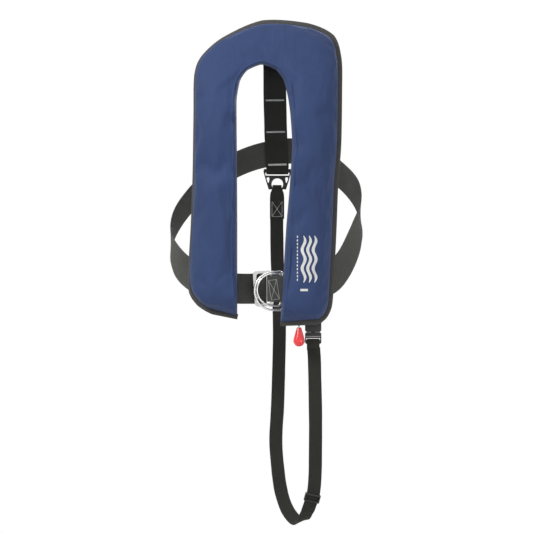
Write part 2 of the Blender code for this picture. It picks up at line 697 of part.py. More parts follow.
def make_yoke_fold():
    """The turn of the yoke strap round the slider's top bar."""
    x, y = SLIDER_X, SLIDER_Y
    path = [Vector((x, y - 4.8, -168.4))]
    for k in range(9):
        angle = math.pi * k / 8
        path.append(Vector((x, y - 4.6 * math.cos(angle), -174.6 - 5.4 * math.sin(angle))))
    path.append(Vector((x, y + 4.8, -168.4)))
    return strap("yoke_fold", path, [Vector((1, 0, 0))] * len(path), YOKE_WIDTH - 1, WEBBING * 0.9)


def make_crotch_loop():
    """Doubled webbing through the slider's eye, sewn together below it."""
    x, y = 16.0, SLIDER_Y
    path = [Vector((x, y - 1.2, -255)), Vector((x, y - 1.4, -228)), Vector((x, y - 4.6, -214))]
    for k in range(9):
        angle = math.pi * k / 8
        path.append(Vector((x, y - 4.6 * math.cos(angle), -203.6 + 4.4 * math.sin(angle))))
    path += [Vector((x, y + 4.6, -214)), Vector((x, y + 1.4, -228)), Vector((x, y + 1.2, -255))]
    width = [24.0, 24.0, 22.5] + [15.0] * 9 + [22.5, 24.0, 24.0]
    return strap("crotch_upper_loop", path, [Vector((1, 0, 0))] * len(path), width, WEBBING)


def make_crotch_strap():
    """The long crotch webbing in three stretches, with its adjuster."""
    frames = crotch_frames()
    split_strap(CROTCH_PIECES, CROTCH_STEPS, frames, CROTCH_WIDTH, "webbing")
    front = frames[CROTCH_PIECES["crotch_strap_front"][0] * CROTCH_STEPS:]
    near = min(range(1, len(front) - 1), key=lambda i: abs(front[i][0].z - GLIDE_HEIGHT))
    point, across, normal = front[near]
    turn = Matrix((across, normal, across.cross(normal))).transposed()
    make_tri_glide(point, turn)


def make_tri_glide(place, turn):
    """Three-bar adjuster: outer bars before the webbing, the middle bar behind it."""
    body = block("tri_glide", (-13, -3.4, -7.2), (13, 3.4, 7.2), "plastic", bevel=1.0, origin=(0, 0, 0))
    cuts = {
        "glide_tunnel_cutter": ((-11.7, -2.1, -9), (11.7, 2.1, 9)),
        "glide_front_cutter": ((-11.4, -5, -4.4), (11.4, -1, 4.4)),
        "glide_upper_cutter": ((-11.4, 1, 1.7), (11.4, 5, 9)),
        "glide_lower_cutter": ((-11.4, 1, -9), (11.4, 5, -1.7)),
    }
    for name, (low, high) in cuts.items():
        cutter = block(name, low, high, "plastic", origin=(0, 0, 0))
        cutter.parent = body
        boolean(body, cutter)
    body.location = place * MM
    body.rotation_euler = turn.to_euler()
    return body


def make_side_buckle():
    """Side-release buckle: a socket above, a plug with two sprung prongs below."""
    x, y = BUCKLE_X, BUCKLE_Y
    socket = plate("buckle_socket", rounded_box(x - 13.5, x + 13.5, -443, -408, 4), y - 4.6, y + 4.6, "plastic")
    hollow = block("socket_hollow_cutter", (x - 11, y - 2.9, -446), (x + 11, y + 2.9, -419), "plastic")
    bar_slot = plate("socket_bar_cutter", rounded_box(x - 11, x + 11, -416, -412.3, 1.5, 2), y - 8, y + 8, "plastic")
    windows = block("socket_window_cutter", (x - 15, y - 2.2, -438), (x + 15, y + 2.2, -426), "plastic")
    for cutter in (hollow, bar_slot, windows):
        boolean(socket, cutter)
    plug = plate("buckle_plug", rounded_box(x - 13.5, x + 13.5, -462.5, -443.4, 3), y - 4.6, y + 4.6, "plastic")
    tongue = block("plug_tongue", (x - 2.6, y - 2, -448), (x + 2.6, y + 2, -423), "plastic")
    boolean(plug, tongue, "UNION")
    slot = plate("plug_slot_cutter", rounded_box(x - 11.6, x + 11.6, -456.8, -452.4, 1, 2), y - 8, y + 8, "plastic")
    boolean(plug, slot)
    prongs = []
    for name, sign in (("prong_left", -1), ("prong_right", 1)):
        outline = [(x + sign * 4.2, -442.6), (x + sign * 8.4, -442.6), (x + sign * 9.2, -436.5),
                   (x + sign * 12.9, -434.5), (x + sign * 12.9, -430), (x + sign * 8.6, -424),
                   (x + sign * 6.4, -424), (x + sign * 5.6, -434)]
        prongs.append(plate(name, outline, y - 1.9, y + 1.9, "plastic", origin=(x + sign * 6.3, y, -442.4)))
    return [socket, plug, *prongs]


def make_buckle_web():
    """Short webbing round the waist belt and through the bar of the buckle socket."""
    x, y = BUCKLE_X, BUCKLE_Y
    route = [(16.4, -399), (16.2, -392), (16.2, -345), (18.2, -336), (22.5, -333.2), (27.4, -336.5),
             (28.8, -346), (28.6, -392), (26, -402), (y + 6.6, -409), (y + 6.0, -413.4), (y, -414.4),
             (y - 6.0, -413.4), (y - 6.4, -408), (y - 4.8, -402.6)]
    path = [Vector((x, depth, height)) for depth, height in route]
    return strap("buckle_web", path, [Vector((1, 0, 0))] * len(path), 20.5, 1.2)


def make_plug_fold():
    """The sewn end of the crotch strap, looped round the plug's bar."""
    x, y = BUCKLE_X, BUCKLE_Y
    half = [(1.0, -472.5), (1.2, -469), (5.7, -464), (6.0, -457), (4.6, -454.8)]
    route = [(y - d, h) for d, h in half] + [(y, -454.5)] + [(y + d, h) for d, h in reversed(half)]
    path = [Vector((x, depth, height)) for depth, height in route]
    return strap("plug_strap_fold", path, [Vector((1, 0, 0))] * len(path), 21, 1.2)


def make_keepers():
    """Webbing tunnels sewn to the back of each lobe, which hold the belt."""
    for name, x, front, back in (("belt_keeper_left", -86, 17.5, 31), ("belt_keeper_right", 47, 8.5, 22)):
        route = [(x, front, -322), (x, front + 0.6, -329), (x, back - 1.5, -334), (x, back, -346),
                 (x, back, -394), (x, back - 2, -402), (x, front + 0.6, -405), (x, front - 1, -411)]
        cross_strap(name, route, 18, 1.2)


def main():
    clear_scene()
    make_cover_front()
    make_cover_back()
    make_binding()
    make_bladder()
    make_inflator()
    make_spring()
    make_pull()
    make_oral_tube()
    make_belt()
    make_buckle_frame()
    make_d_rings()
    make_yoke()
    make_yoke_fold()
    make_back_slider()
    make_crotch_loop()
    make_crotch_strap()
    make_side_buckle()
    make_buckle_web()
    make_plug_fold()
    make_keepers()


main()
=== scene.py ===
"""Looks of a packed inflatable life jacket, built round its fixed frame.

The frame holds every hard piece and every joint. This script gives the jacket its cloth cover, edge tape,
webbing, stitching and moulded and steel fittings, and dresses each frame node that stays.
Lengths are in metres; routes and outlines are written in millimetres and scaled by MM.
"""

import logging
import math
from dataclasses import dataclass, field
from enum import Enum

import bmesh
import bpy
import numpy as np
from mathutils import Matrix, Vector, noise
from mathutils.bvhtree import BVHTree


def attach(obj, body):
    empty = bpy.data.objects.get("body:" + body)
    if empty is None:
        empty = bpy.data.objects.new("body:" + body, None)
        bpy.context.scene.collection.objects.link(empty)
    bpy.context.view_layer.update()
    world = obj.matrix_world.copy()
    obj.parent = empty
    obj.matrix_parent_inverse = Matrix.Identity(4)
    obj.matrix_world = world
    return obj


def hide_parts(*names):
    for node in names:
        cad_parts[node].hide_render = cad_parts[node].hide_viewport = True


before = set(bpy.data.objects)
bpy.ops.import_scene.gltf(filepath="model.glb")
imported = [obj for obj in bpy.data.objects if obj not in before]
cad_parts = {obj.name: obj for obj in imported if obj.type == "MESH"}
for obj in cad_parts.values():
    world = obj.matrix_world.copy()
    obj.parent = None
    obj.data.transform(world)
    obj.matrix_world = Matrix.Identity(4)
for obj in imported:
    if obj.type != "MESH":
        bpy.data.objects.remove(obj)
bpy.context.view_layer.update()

LOG = logging.getLogger("life_jacket")

Object = bpy.types.Object
Node = bpy.types.Node
Socket = bpy.types.NodeSocket
Outputs = bpy.types.NodeOutputs
Colour = tuple[float, float, float]
Pair = tuple[float, float]
Stitch = tuple[Vector, Vector, Vector]

MM = 0.001
JACKET = "jacket"
RIGHT = Vector((1.0, 0.0, 0.0))
UP = Vector((0.0, 0.0, 1.0))
FRONT = Vector((0.0, -1.0, 0.0))
BACK = Vector((0.0, 1.0, 0.0))
BOX_CORNERS = ((-1, 1), (1, 1), (1, -1), (-1, -1))


# -------- shader groups


@dataclass
class NodeSheet:
    """A node tree with short ways to add and join nodes."""

    tree: bpy.types.NodeTree

    def add(self, kind: str, **values: object) -> Node:
        """Add a node and set its properties.

        Args:
            kind: The node's type without its ShaderNode prefix.
            values: Properties of the node.

        Returns:
            The new node.
        """
        node = self.tree.nodes.new("ShaderNode" + kind)
        for name, value in values.items():
            setattr(node, name, value)
        return node

    def feed(self, node: Node, **inputs: object) -> Node:
        """Set or link inputs, named with underscores for spaces.

        Args:
            node: The node whose inputs are set.
            inputs: A socket to link, or a value to set, for each input's name.

        Returns:
            The same node.
        """
        for name, value in inputs.items():
            socket = node.inputs[int(name[1:])] if name[0] == "i" and name[1:].isdigit() else node.inputs[
                name.replace("_", " ")]
            if isinstance(value, Socket):
                self.tree.links.new(value, socket)
            else:
                socket.default_value = value
        return node

    def math(self, operation: str, a: object, b: object = 0.0, c: object = 0.0) -> Socket:
        """Add a Math node.

        Args:
            operation: Name of the operation.
            a: First input, a socket or a number.
            b: Second input.
            c: Third input.

        Returns:
            The output socket.
        """
        node = self.add("Math", operation=operation)
        return self.feed(node, i0=a, i1=b, i2=c).outputs[0]

    def blend(self, share: object, low: object, high: object) -> Socket:
        """Mix two colours.

        Args:
            share: From 0 for low to 1 for high.
            low: First colour.
            high: Second colour.

        Returns:
            The mixed colour's socket.
        """
        node = self.add("Mix", data_type="RGBA")
        return self.feed(node, i0=share, i6=low, i7=high).outputs[2]

    def noise(self, vector: object, scale: object, detail: float, **more: object) -> Socket:
        """Add a Noise texture.

        Args:
            vector: Its coordinates.
            scale: Its scale.
            detail: Its detail.
            more: Its other inputs.

        Returns:
            The noise's value.
        """
        return self.feed(self.add("TexNoise"), Vector=vector, Scale=scale, Detail=detail, **more).outputs[0]

    def spread(self, value: object, low: float, high: object, to_low: object, to_high: object) -> Socket:
        """Map a range of values to another.

        Args:
            value: The socket to map.
            low: Start of its range.
            high: End of its range.
            to_low: What the start becomes.
            to_high: What the end becomes.

        Returns:
            The mapped value's socket.
        """
        ends = {"From_Min": low, "From_Max": high, "To_Min": to_low, "To_Max": to_high}
        return self.feed(self.add("MapRange"), Value=value, **ends).outputs[0]


class ShaderGroup:
    """Base of the shared effects: a node group that is built once."""

    title = "group"
    inputs: tuple[tuple[str, str, object], ...] = ()
    outputs: tuple[tuple[str, str], ...] = ()

    @classmethod
    def tree(cls) -> bpy.types.NodeTree:
        """Give the node group, building it the first time.

        Returns:
            The shared node tree.
        """
        found = bpy.data.node_groups.get(cls.title)
        if found:
            return found
        made = bpy.data.node_groups.new(cls.title, "ShaderNodeTree")
        for name, kind, value in cls.inputs:
            socket = made.interface.new_socket(name=name, in_out="INPUT", socket_type="NodeSocket" + kind)
            if value is not None:
                socket.default_value = value
        for name, kind in cls.outputs:
            made.interface.new_socket(name=name, in_out="OUTPUT", socket_type="NodeSocket" + kind)
        sheet = NodeSheet(made)
        cls.fill(sheet, made.nodes.new("NodeGroupInput").outputs, made.nodes.new("NodeGroupOutput"))
        return made

    @classmethod
    def fill(cls, sheet: NodeSheet, given: Outputs, result: Node) -> None:
        """Build the group's nodes.

        Args:
            sheet: The group's tree.
            given: Its inputs.
            result: Its output node.
        """
        raise NotImplementedError

    @classmethod
    def place(cls, sheet: NodeSheet, **inputs: object) -> Node:
        """Place the group in a material.

        Args:
            sheet: The material's tree.
            inputs: Values or sockets for the group's inputs.

        Returns:
            The group node.
        """
        node = sheet.add("Group", node_tree=cls.tree())
        return sheet.feed(node, **inputs)


class PlainWeave(ShaderGroup):
    """Threads that pass over and under each other, from coordinates in metres."""

    title = "plain weave"
    inputs = (("Vector", "Vector", None), ("Pitch", "Float", 0.0006), ("Unevenness", "Float", 0.2))
    outputs = (("Height", "Float"), ("Thread Shade", "Float"))

    @classmethod
    def fill(cls, sheet: NodeSheet, given: Outputs, result: Node) -> None:
        """Build two crossed sets of round threads.

        Args:
            sheet: The group's tree.
            given: Its inputs.
            result: Its output node.
        """
        wobble = sheet.noise(given["Vector"], 350.0, 2.0)
        split = sheet.feed(sheet.add("SeparateXYZ"), Vector=given["Vector"])
        steps = []
        for axis in (0, 1):
            across = sheet.math("DIVIDE", split.outputs[axis], given["Pitch"])
            bent = sheet.math("MULTIPLY_ADD", wobble, given["Unevenness"], across)
            steps.append(sheet.math("MULTIPLY", bent, math.pi))
        warp = sheet.math("ABSOLUTE", sheet.math("SINE", steps[0]))
        weft = sheet.math("ABSOLUTE", sheet.math("SINE", steps[1]))
        turn = sheet.math("MULTIPLY", sheet.math("COSINE", steps[0]), sheet.math("COSINE", steps[1]))
        over = sheet.math("MULTIPLY_ADD", turn, 0.5, 0.5)
        high = sheet.math("MULTIPLY", warp, over)
        low = sheet.math("MULTIPLY", weft, sheet.math("SUBTRACT", 1.0, over))
        height = sheet.math("ADD", high, low)
        # Painted Valley Shade is painted shade: a colour factor that is darker where the weave's height is
        # low, in the valleys between the threads.
        sheet.feed(result, Height=height, Thread_Shade=sheet.spread(height, 0.0, 1.0, 0.82, 1.06))


class RibbedWeave(ShaderGroup):
    """Strap webbing: ribs along the strap, crossed by a fine weft, with plain edges."""

    title = "ribbed weave"
    inputs = (("Vector", "Vector", None), ("Rib", "Float", 0.0017), ("Weft", "Float", 0.0011))
    outputs = (("Height", "Float"), ("Thread Shade", "Float"))

    @classmethod
    def fill(cls, sheet: NodeSheet, given: Outputs, result: Node) -> None:
        """Build ribs whose wefts slant one way and then the other.

        Args:
            sheet: The group's tree.
            given: Its inputs.
            result: Its output node.
        """
        split = sheet.feed(sheet.add("SeparateXYZ"), Vector=given["Vector"])
        across = sheet.math("DIVIDE", split.outputs[0], given["Rib"])
        along = sheet.math("DIVIDE", split.outputs[1], given["Weft"])
        slant = sheet.math("PINGPONG", across, 1.0)
        rib = sheet.math("ABSOLUTE", sheet.math("SINE", sheet.math("MULTIPLY", across, math.pi)))
        weft_phase = sheet.math("MULTIPLY_ADD", slant, 1.2, along)
        weft = sheet.math("ABSOLUTE", sheet.math("SINE", sheet.math("MULTIPLY", weft_phase, math.pi)))
        loose = sheet.noise(given["Vector"], 900.0, 3.0)
        crossed = sheet.math("MULTIPLY_ADD", weft, 0.55, 0.45)
        body = sheet.math("MULTIPLY", sheet.math("POWER", rib, 0.6), crossed)
        height = sheet.math("MULTIPLY_ADD", loose, 0.22, body)
        # Painted Valley Shade is mostly painted shade, darker in the grooves between ribs and wefts, with
        # some random tone from the loose fibre noise.
        sheet.feed(result, Height=height, Thread_Shade=sheet.spread(height, 0.1, 1.1, 0.72, 1.12))


class Mottle(ShaderGroup):
    """Slow changes of tone over a surface, and a finer one inside them."""

    title = "mottle"
    inputs = (("Vector", "Vector", None), ("Size", "Float", 0.08),
              ("Low", "Float", 0.9), ("High", "Float", 1.1))
    outputs = (("Tone", "Float"), ("Mask", "Float"))

    @classmethod
    def fill(cls, sheet: NodeSheet, given: Outputs, result: Node) -> None:
        """Build the two noises.

        Args:
            sheet: The group's tree.
            given: Its inputs.
            result: Its output node.
        """
        scale = sheet.math("DIVIDE", 1.0, given["Size"])
        wide = sheet.noise(given["Vector"], scale, 3.0, Roughness=0.55)
        fine = sheet.noise(given["Vector"], sheet.math("MULTIPLY", scale, 9.0), 2.0)
        mask = sheet.math("MULTIPLY_ADD", fine, 0.3, sheet.math("MULTIPLY", wide, 0.7))
        sheet.feed(result, Tone=sheet.spread(mask, 0.35, 0.65, given["Low"], given["High"]), Mask=mask)


class EdgeWear(ShaderGroup):
    """Rubbed corners: where the surface is sharp outwards, broken up by noise."""

    title = "edge wear"
    inputs = (("Vector", "Vector", None), ("Reach", "Float", 0.56), ("Amount", "Float", 0.5))
    outputs = (("Mask", "Float"),)

    @classmethod
    def fill(cls, sheet: NodeSheet, given: Outputs, result: Node) -> None:
        """Build the mask from the surface's pointiness.

        Args:
            sheet: The group's tree.
            given: Its inputs.
            result: Its output node.
        """
        sharp = sheet.add("NewGeometry").outputs["Pointiness"]
        rub = sheet.noise(given["Vector"], 420.0, 4.0)
        corner = sheet.spread(sharp, 0.5, given["Reach"], 0.0, 1.0)
        broken = sheet.math("MULTIPLY", corner, sheet.spread(rub, 0.35, 0.7, 0.2, 1.0))
        sheet.feed(result, Mask=sheet.math("MULTIPLY", broken, given["Amount"]))


class MouldGrain(ShaderGroup):
    """The fine spark-eroded grain and faint flow marks of moulded plastic."""

    title = "mould grain"
    inputs = (("Vector", "Vector", None), ("Grain", "Float", 2600.0), ("Flow", "Float", 60.0))
    outputs = (("Height", "Float"), ("Gloss Change", "Float"))

    @classmethod
    def fill(cls, sheet: NodeSheet, given: Outputs, result: Node) -> None:
        """Build the grain and the flow marks.

        Args:
            sheet: The group's tree.
            given: Its inputs.
            result: Its output node.
        """
        grain = sheet.noise(given["Vector"], given["Grain"], 2.0)
        flow = sheet.noise(given["Vector"], given["Flow"], 3.0, Distortion=1.2)
        sheet.feed(result, Height=sheet.math("MULTIPLY_ADD", flow, 0.35, grain),
                   Gloss_Change=sheet.math("SUBTRACT", flow, 0.5))


class Scratches(ShaderGroup):
    """Long fine polishing lines and a few handling scratches."""

    title = "scratches"
    inputs = (("Vector", "Vector", None), ("Density", "Float", 160.0))
    outputs = (("Height", "Float"), ("Mask", "Float"))

    @classmethod
    def fill(cls, sheet: NodeSheet, given: Outputs, result: Node) -> None:
        """Build stretched noise in two directions.

        Args:
            sheet: The group's tree.
            given: Its inputs.
            result: Its output node.
        """
        marks = []
        for stretch in ((9.0, 1.0, 0.35), (0.4, 1.0, 7.0)):
            mapped = sheet.feed(sheet.add("Mapping"), Vector=given["Vector"], Scale=stretch)
            marks.append(sheet.noise(mapped.outputs[0], given["Density"], 5.0))
        both = sheet.math("MULTIPLY", marks[0], marks[1])
        sheet.feed(result, Height=marks[0], Mask=sheet.spread(both, 0.2, 0.42, 0.0, 1.0))


# -------- finishes


class Place(Enum):
    """Where a pattern takes its coordinates from."""

    STRAP = "strap"
    SOLID = "solid"


def srgb(red: int, green: int, blue: int) -> Colour:
    """Turn a display colour into a linear one.

    Args:
        red: Red from 0 to 255.
        green: Green from 0 to 255.
        blue: Blue from 0 to 255.

    Returns:
        The linear colour.
    """
    def linear(value: int) -> float:
        """One channel as a linear value."""
        share = value / 255
        return share / 12.92 if share <= 0.04045 else ((share + 0.055) / 1.055) ** 2.4
    return linear(red), linear(green), linear(blue)


def tinted(sheet: NodeSheet, colour: Colour, *tones: Socket) -> Socket:
    """Multiply a colour by tones that change over the surface.

    Args:
        sheet: The material's tree.
        colour: The plain colour.
        tones: Factors near 1.

    Returns:
        The colour's socket.
    """
    factor = tones[0]
    for tone in tones[1:]:
        factor = sheet.math("MULTIPLY", factor, tone)
    node = sheet.feed(sheet.add("VectorMath", operation="SCALE"), Vector=colour, Scale=factor)
    return node.outputs[0]


def paler(colour: Colour, gain: float, lift: float = 0.0) -> tuple[float, float, float, float]:
    """The colour of a rubbed place.

    Args:
        colour: The plain colour.
        gain: Factor on it.
        lift: Value added after that.

    Returns:
        The paler colour, with its alpha.
    """
    red, green, blue = (min(1.0, c * gain + lift) for c in colour)
    return red, green, blue, 1.0


@dataclass(frozen=True)
class Finish:
    """What every finish has: a name, and a material built once."""

    name: str

    def material(self) -> bpy.types.Material:
        """Give the finish's material, building it the first time.

        Returns:
            The material.
        """
        found = bpy.data.materials.get(self.name)
        if found:
            return found
        made = bpy.data.materials.new(self.name)
        made.use_nodes = True
        self.dress(NodeSheet(made.node_tree), made.node_tree.nodes["Principled BSDF"])
        return made

    def dress(self, sheet: NodeSheet, shader: Node) -> None:
        """Fill the material's nodes.

        Args:
            sheet: The material's tree.
            shader: Its Principled BSDF.
        """
        raise NotImplementedError

    @staticmethod
    def where(sheet: NodeSheet, place: Place) -> Socket:
        """Coordinates in metres, along a strap or through the solid.

        Args:
            sheet: The material's tree.
            place: Which coordinates.

        Returns:
            The vector's socket.
        """
        if place is Place.STRAP:
            return sheet.add("UVMap", uv_map="strap").outputs[0]
        return sheet.add("TexCoord").outputs["Object"]

    @staticmethod
    def relief(sheet: NodeSheet, shader: Node, height: Socket, depth: float,
               strength: float = 1.0) -> None:
        """Feed a height to the shader's normal.

        Args:
            sheet: The material's tree.
            shader: Its Principled BSDF.
            height: The height's socket.
            depth: Depth in metres of a height of 1.
            strength: Strength of the bump.
        """
        bump = sheet.feed(sheet.add("Bump"), Strength=strength, Distance=depth, Height=height)
        sheet.feed(shader, Normal=bump.outputs[0])


@dataclass(frozen=True)
class CoverCloth(Finish):
    """Coated woven polyester of the cover."""

    colour: Colour = srgb(51, 68, 109)
    pitch: float = 0.0007
    roughness: float = 0.68
    sheen: float = 0.04

    def dress(self, sheet: NodeSheet, shader: Node) -> None:
        """Weave, slow tone changes, rubbed folds and faint pressed creases.

        Args:
            sheet: The material's tree.
            shader: Its Principled BSDF.
        """
        strap = self.where(sheet, Place.STRAP)
        solid = self.where(sheet, Place.SOLID)
        weave = PlainWeave.place(sheet, Vector=strap, Pitch=self.pitch, Unevenness=0.3)
        tone = Mottle.place(sheet, Vector=solid, Size=0.11, Low=0.93, High=1.07)
        fade = EdgeWear.place(sheet, Vector=solid, Reach=0.6, Amount=0.25)
        # The weave factor is painted shade in the weave's valleys; the mottle is random tone.
        base = tinted(sheet, self.colour, weave.outputs["Thread Shade"], tone.outputs["Tone"])
        worn = sheet.blend(fade.outputs["Mask"], base, paler(self.colour, 1.9))
        rough = sheet.math("MULTIPLY_ADD", tone.outputs["Mask"], 0.16, self.roughness - 0.08)
        sheet.feed(shader, Base_Color=worn, Roughness=rough, Sheen_Weight=self.sheen, Sheen_Roughness=0.45,
                   Specular_IOR_Level=0.22)
        mapped = sheet.feed(sheet.add("Mapping"), Vector=solid, Rotation=(0.0, math.radians(38), 0.0),
                            Scale=(26.0, 12.0, 5.5))
        crease = sheet.noise(mapped.outputs[0], 1.0, 3.0, Roughness=0.5, Distortion=0.6)
        soft = sheet.math("MULTIPLY", sheet.math("ABSOLUTE", sheet.math("SUBTRACT", crease, 0.5)), 2.6)
        height = sheet.math("MULTIPLY_ADD", weave.outputs["Height"], 0.035, soft)
        self.relief(sheet, shader, height, 0.0022, 0.75)


@dataclass(frozen=True)
class StrapWeave(Finish):
    """Polyester webbing, with rubbed edges."""

    colour: Colour = srgb(46, 46, 43)
    rib: float = 0.0018
    weft: float = 0.0012
    roughness: float = 0.78
    depth: float = 0.0006

    def dress(self, sheet: NodeSheet, shader: Node) -> None:
        """Ribs, weft and tone.

        Args:
            sheet: The material's tree.
            shader: Its Principled BSDF.
        """
        strap = self.where(sheet, Place.STRAP)
        solid = self.where(sheet, Place.SOLID)
        weave = RibbedWeave.place(sheet, Vector=strap, Rib=self.rib, Weft=self.weft)
        tone = Mottle.place(sheet, Vector=solid, Size=0.05, Low=0.86, High=1.14)
        rub = EdgeWear.place(sheet, Vector=solid, Reach=0.58, Amount=0.35)
        # The weave factor is painted shade in the grooves of the ribs; the mottle is random tone.
        base = tinted(sheet, self.colour, weave.outputs["Thread Shade"], tone.outputs["Tone"])
        worn = sheet.blend(rub.outputs["Mask"], base, paler(self.colour, 2.2, 0.01))
        rough = sheet.math("MULTIPLY_ADD", tone.outputs["Mask"], 0.2, self.roughness - 0.1)
        sheet.feed(shader, Base_Color=worn, Roughness=rough, Sheen_Weight=0.06, Sheen_Roughness=0.5,
                   Specular_IOR_Level=0.25)
        self.relief(sheet, shader, weave.outputs["Height"], self.depth)


@dataclass(frozen=True)
class Moulded(Finish):
    """Injection-moulded plastic, matt or glossy."""

    colour: Colour = srgb(30, 30, 30)
    roughness: float = 0.38
    grain: float = 0.00006
    coat: float = 0.0
    wear: float = 0.35

    def dress(self, sheet: NodeSheet, shader: Node) -> None:
        """Grain, flow marks and rubbed corners.

        Args:
            sheet: The material's tree.
            shader: Its Principled BSDF.
        """
        solid = self.where(sheet, Place.SOLID)
        grain = MouldGrain.place(sheet, Vector=solid)
        tone = Mottle.place(sheet, Vector=solid, Size=0.02, Low=0.92, High=1.08)
        rub = EdgeWear.place(sheet, Vector=solid, Reach=0.57, Amount=self.wear)
        base = tinted(sheet, self.colour, tone.outputs["Tone"])
        worn = sheet.blend(rub.outputs["Mask"], base, paler(self.colour, 1.5, 0.03))
        change = sheet.math("MULTIPLY_ADD", grain.outputs["Gloss Change"], 0.25, self.roughness)
        rough = sheet.math("MULTIPLY_ADD", rub.outputs["Mask"], 0.12, change)
        sheet.feed(shader, Base_Color=worn, Roughness=rough, Coat_Weight=self.coat, Coat_Roughness=0.08)
        self.relief(sheet, shader, grain.outputs["Height"], self.grain)


@dataclass(frozen=True)
class Steel(Finish):
    """Polished or plated steel."""

    colour: Colour = srgb(205, 205, 203)
    roughness: float = 0.2
    lines: float = 0.00003

    def dress(self, sheet: NodeSheet, shader: Node) -> None:
        """Polishing lines, dull patches and brighter worn edges.

        Args:
            sheet: The material's tree.
            shader: Its Principled BSDF.
        """
        solid = self.where(sheet, Place.SOLID)
        marks = Scratches.place(sheet, Vector=solid, Density=180.0)
        tone = Mottle.place(sheet, Vector=solid, Size=0.015, Low=0.85, High=1.05)
        rub = EdgeWear.place(sheet, Vector=solid, Reach=0.58, Amount=0.5)
        base = tinted(sheet, self.colour, tone.outputs["Tone"])
        bright = sheet.blend(rub.outputs["Mask"], base, paler(self.colour, 1.25))
        rough = sheet.math("MULTIPLY_ADD", marks.outputs["Mask"], 0.16, self.roughness - 0.04)
        rough = sheet.math("MULTIPLY_ADD", tone.outputs["Mask"], 0.08, rough)
        sheet.feed(shader, Base_Color=bright, Roughness=rough, Metallic=1.0)
        self.relief(sheet, shader, marks.outputs["Height"], self.lines)


@dataclass(frozen=True)
class CoatedNylon(Finish):
    """The bladder's rubber-coated cloth."""

    colour: Colour = srgb(240, 176, 30)

    def dress(self, sheet: NodeSheet, shader: Node) -> None:
        """A fine weave under a soft coat, with pressed folds.

        Args:
            sheet: The material's tree.
            shader: Its Principled BSDF.
        """
        solid = self.where(sheet, Place.SOLID)
        weave = PlainWeave.place(sheet, Vector=solid, Pitch=0.0008, Unevenness=0.2)
        tone = Mottle.place(sheet, Vector=solid, Size=0.03, Low=0.86, High=1.08)
        # The weave factor is painted shade in the weave's valleys; the mottle is random tone.
        base = tinted(sheet, self.colour, weave.outputs["Thread Shade"], tone.outputs["Tone"])
        rough = sheet.math("MULTIPLY_ADD", tone.outputs["Mask"], 0.2, 0.35)
        sheet.feed(shader, Base_Color=base, Roughness=rough)
        height = sheet.math("MULTIPLY_ADD", weave.outputs["Height"], 0.06, tone.outputs["Mask"])
        self.relief(sheet, shader, height, 0.002)


@dataclass(frozen=True)
class Twine(Finish):
    """Sewing thread and cord: a twist that runs round the strand."""

    colour: Colour = srgb(150, 150, 148)
    pitch: float = 0.0009

    def dress(self, sheet: NodeSheet, shader: Node) -> None:
        """Twist lines and a little fluff.

        Args:
            sheet: The material's tree.
            shader: Its Principled BSDF.
        """
        solid = self.where(sheet, Place.SOLID)
        mapped = sheet.feed(sheet.add("Mapping"), Vector=solid, Rotation=(0.5, 0.6, 0.4))
        twist = sheet.feed(sheet.add("TexWave"), Vector=mapped.outputs[0], Scale=0.16 / self.pitch,
                           Distortion=1.0)
        tone = Mottle.place(sheet, Vector=solid, Size=0.01, Low=0.85, High=1.1)
        # shade is painted shade: it darkens the colour in the grooves of the twist, following the same wave
        # as the bump.
        shade = sheet.spread(twist.outputs[1], 0.0, 1.0, 0.75, 1.08)
        sheet.feed(shader, Base_Color=tinted(sheet, self.colour, shade, tone.outputs["Tone"]),
                   Roughness=sheet.spread(twist.outputs[1], 0.0, 1.0, 0.85, 0.6), Sheen_Weight=0.3)
        self.relief(sheet, shader, twist.outputs[1], 0.0002)


@dataclass(frozen=True)
class ScreenPrint(Finish):
    """White print, cracked a little where the cloth bends."""

    colour: Colour = srgb(222, 222, 220)

    def dress(self, sheet: NodeSheet, shader: Node) -> None:
        """Ink over the weave, with fine cracks.

        Args:
            sheet: The material's tree.
            shader: Its Principled BSDF.
        """
        solid = self.where(sheet, Place.SOLID)
        weave = PlainWeave.place(sheet, Vector=solid, Pitch=0.0008, Unevenness=0.2)
        cracks = sheet.feed(sheet.add("TexVoronoi", feature="DISTANCE_TO_EDGE"), Vector=solid, Scale=260.0)
        line = sheet.spread(cracks.outputs["Distance"], 0.0, 0.035, 0.72, 1.0)
        tone = Mottle.place(sheet, Vector=solid, Size=0.01, Low=0.93, High=1.03)
        sheet.feed(shader, Base_Color=tinted(sheet, self.colour, line, tone.outputs["Tone"]),
                   Roughness=sheet.math("MULTIPLY_ADD", tone.outputs["Mask"], 0.2, 0.45))
        self.relief(sheet, shader, weave.outputs["Height"], 0.00008)


COVER_BLUE = CoverCloth("cover_blue")
TAPE_CHARCOAL = StrapWeave("tape_charcoal", colour=srgb(70, 70, 69), rib=0.0011, weft=0.0008, depth=0.0003)
WEBBING_BLACK = StrapWeave("webbing_black", colour=srgb(42, 42, 38))
WEBBING_BELT = StrapWeave("webbing_belt", colour=srgb(84, 84, 81), rib=0.0021, weft=0.0013)
PLASTIC_BLACK = Moulded("plastic_black")
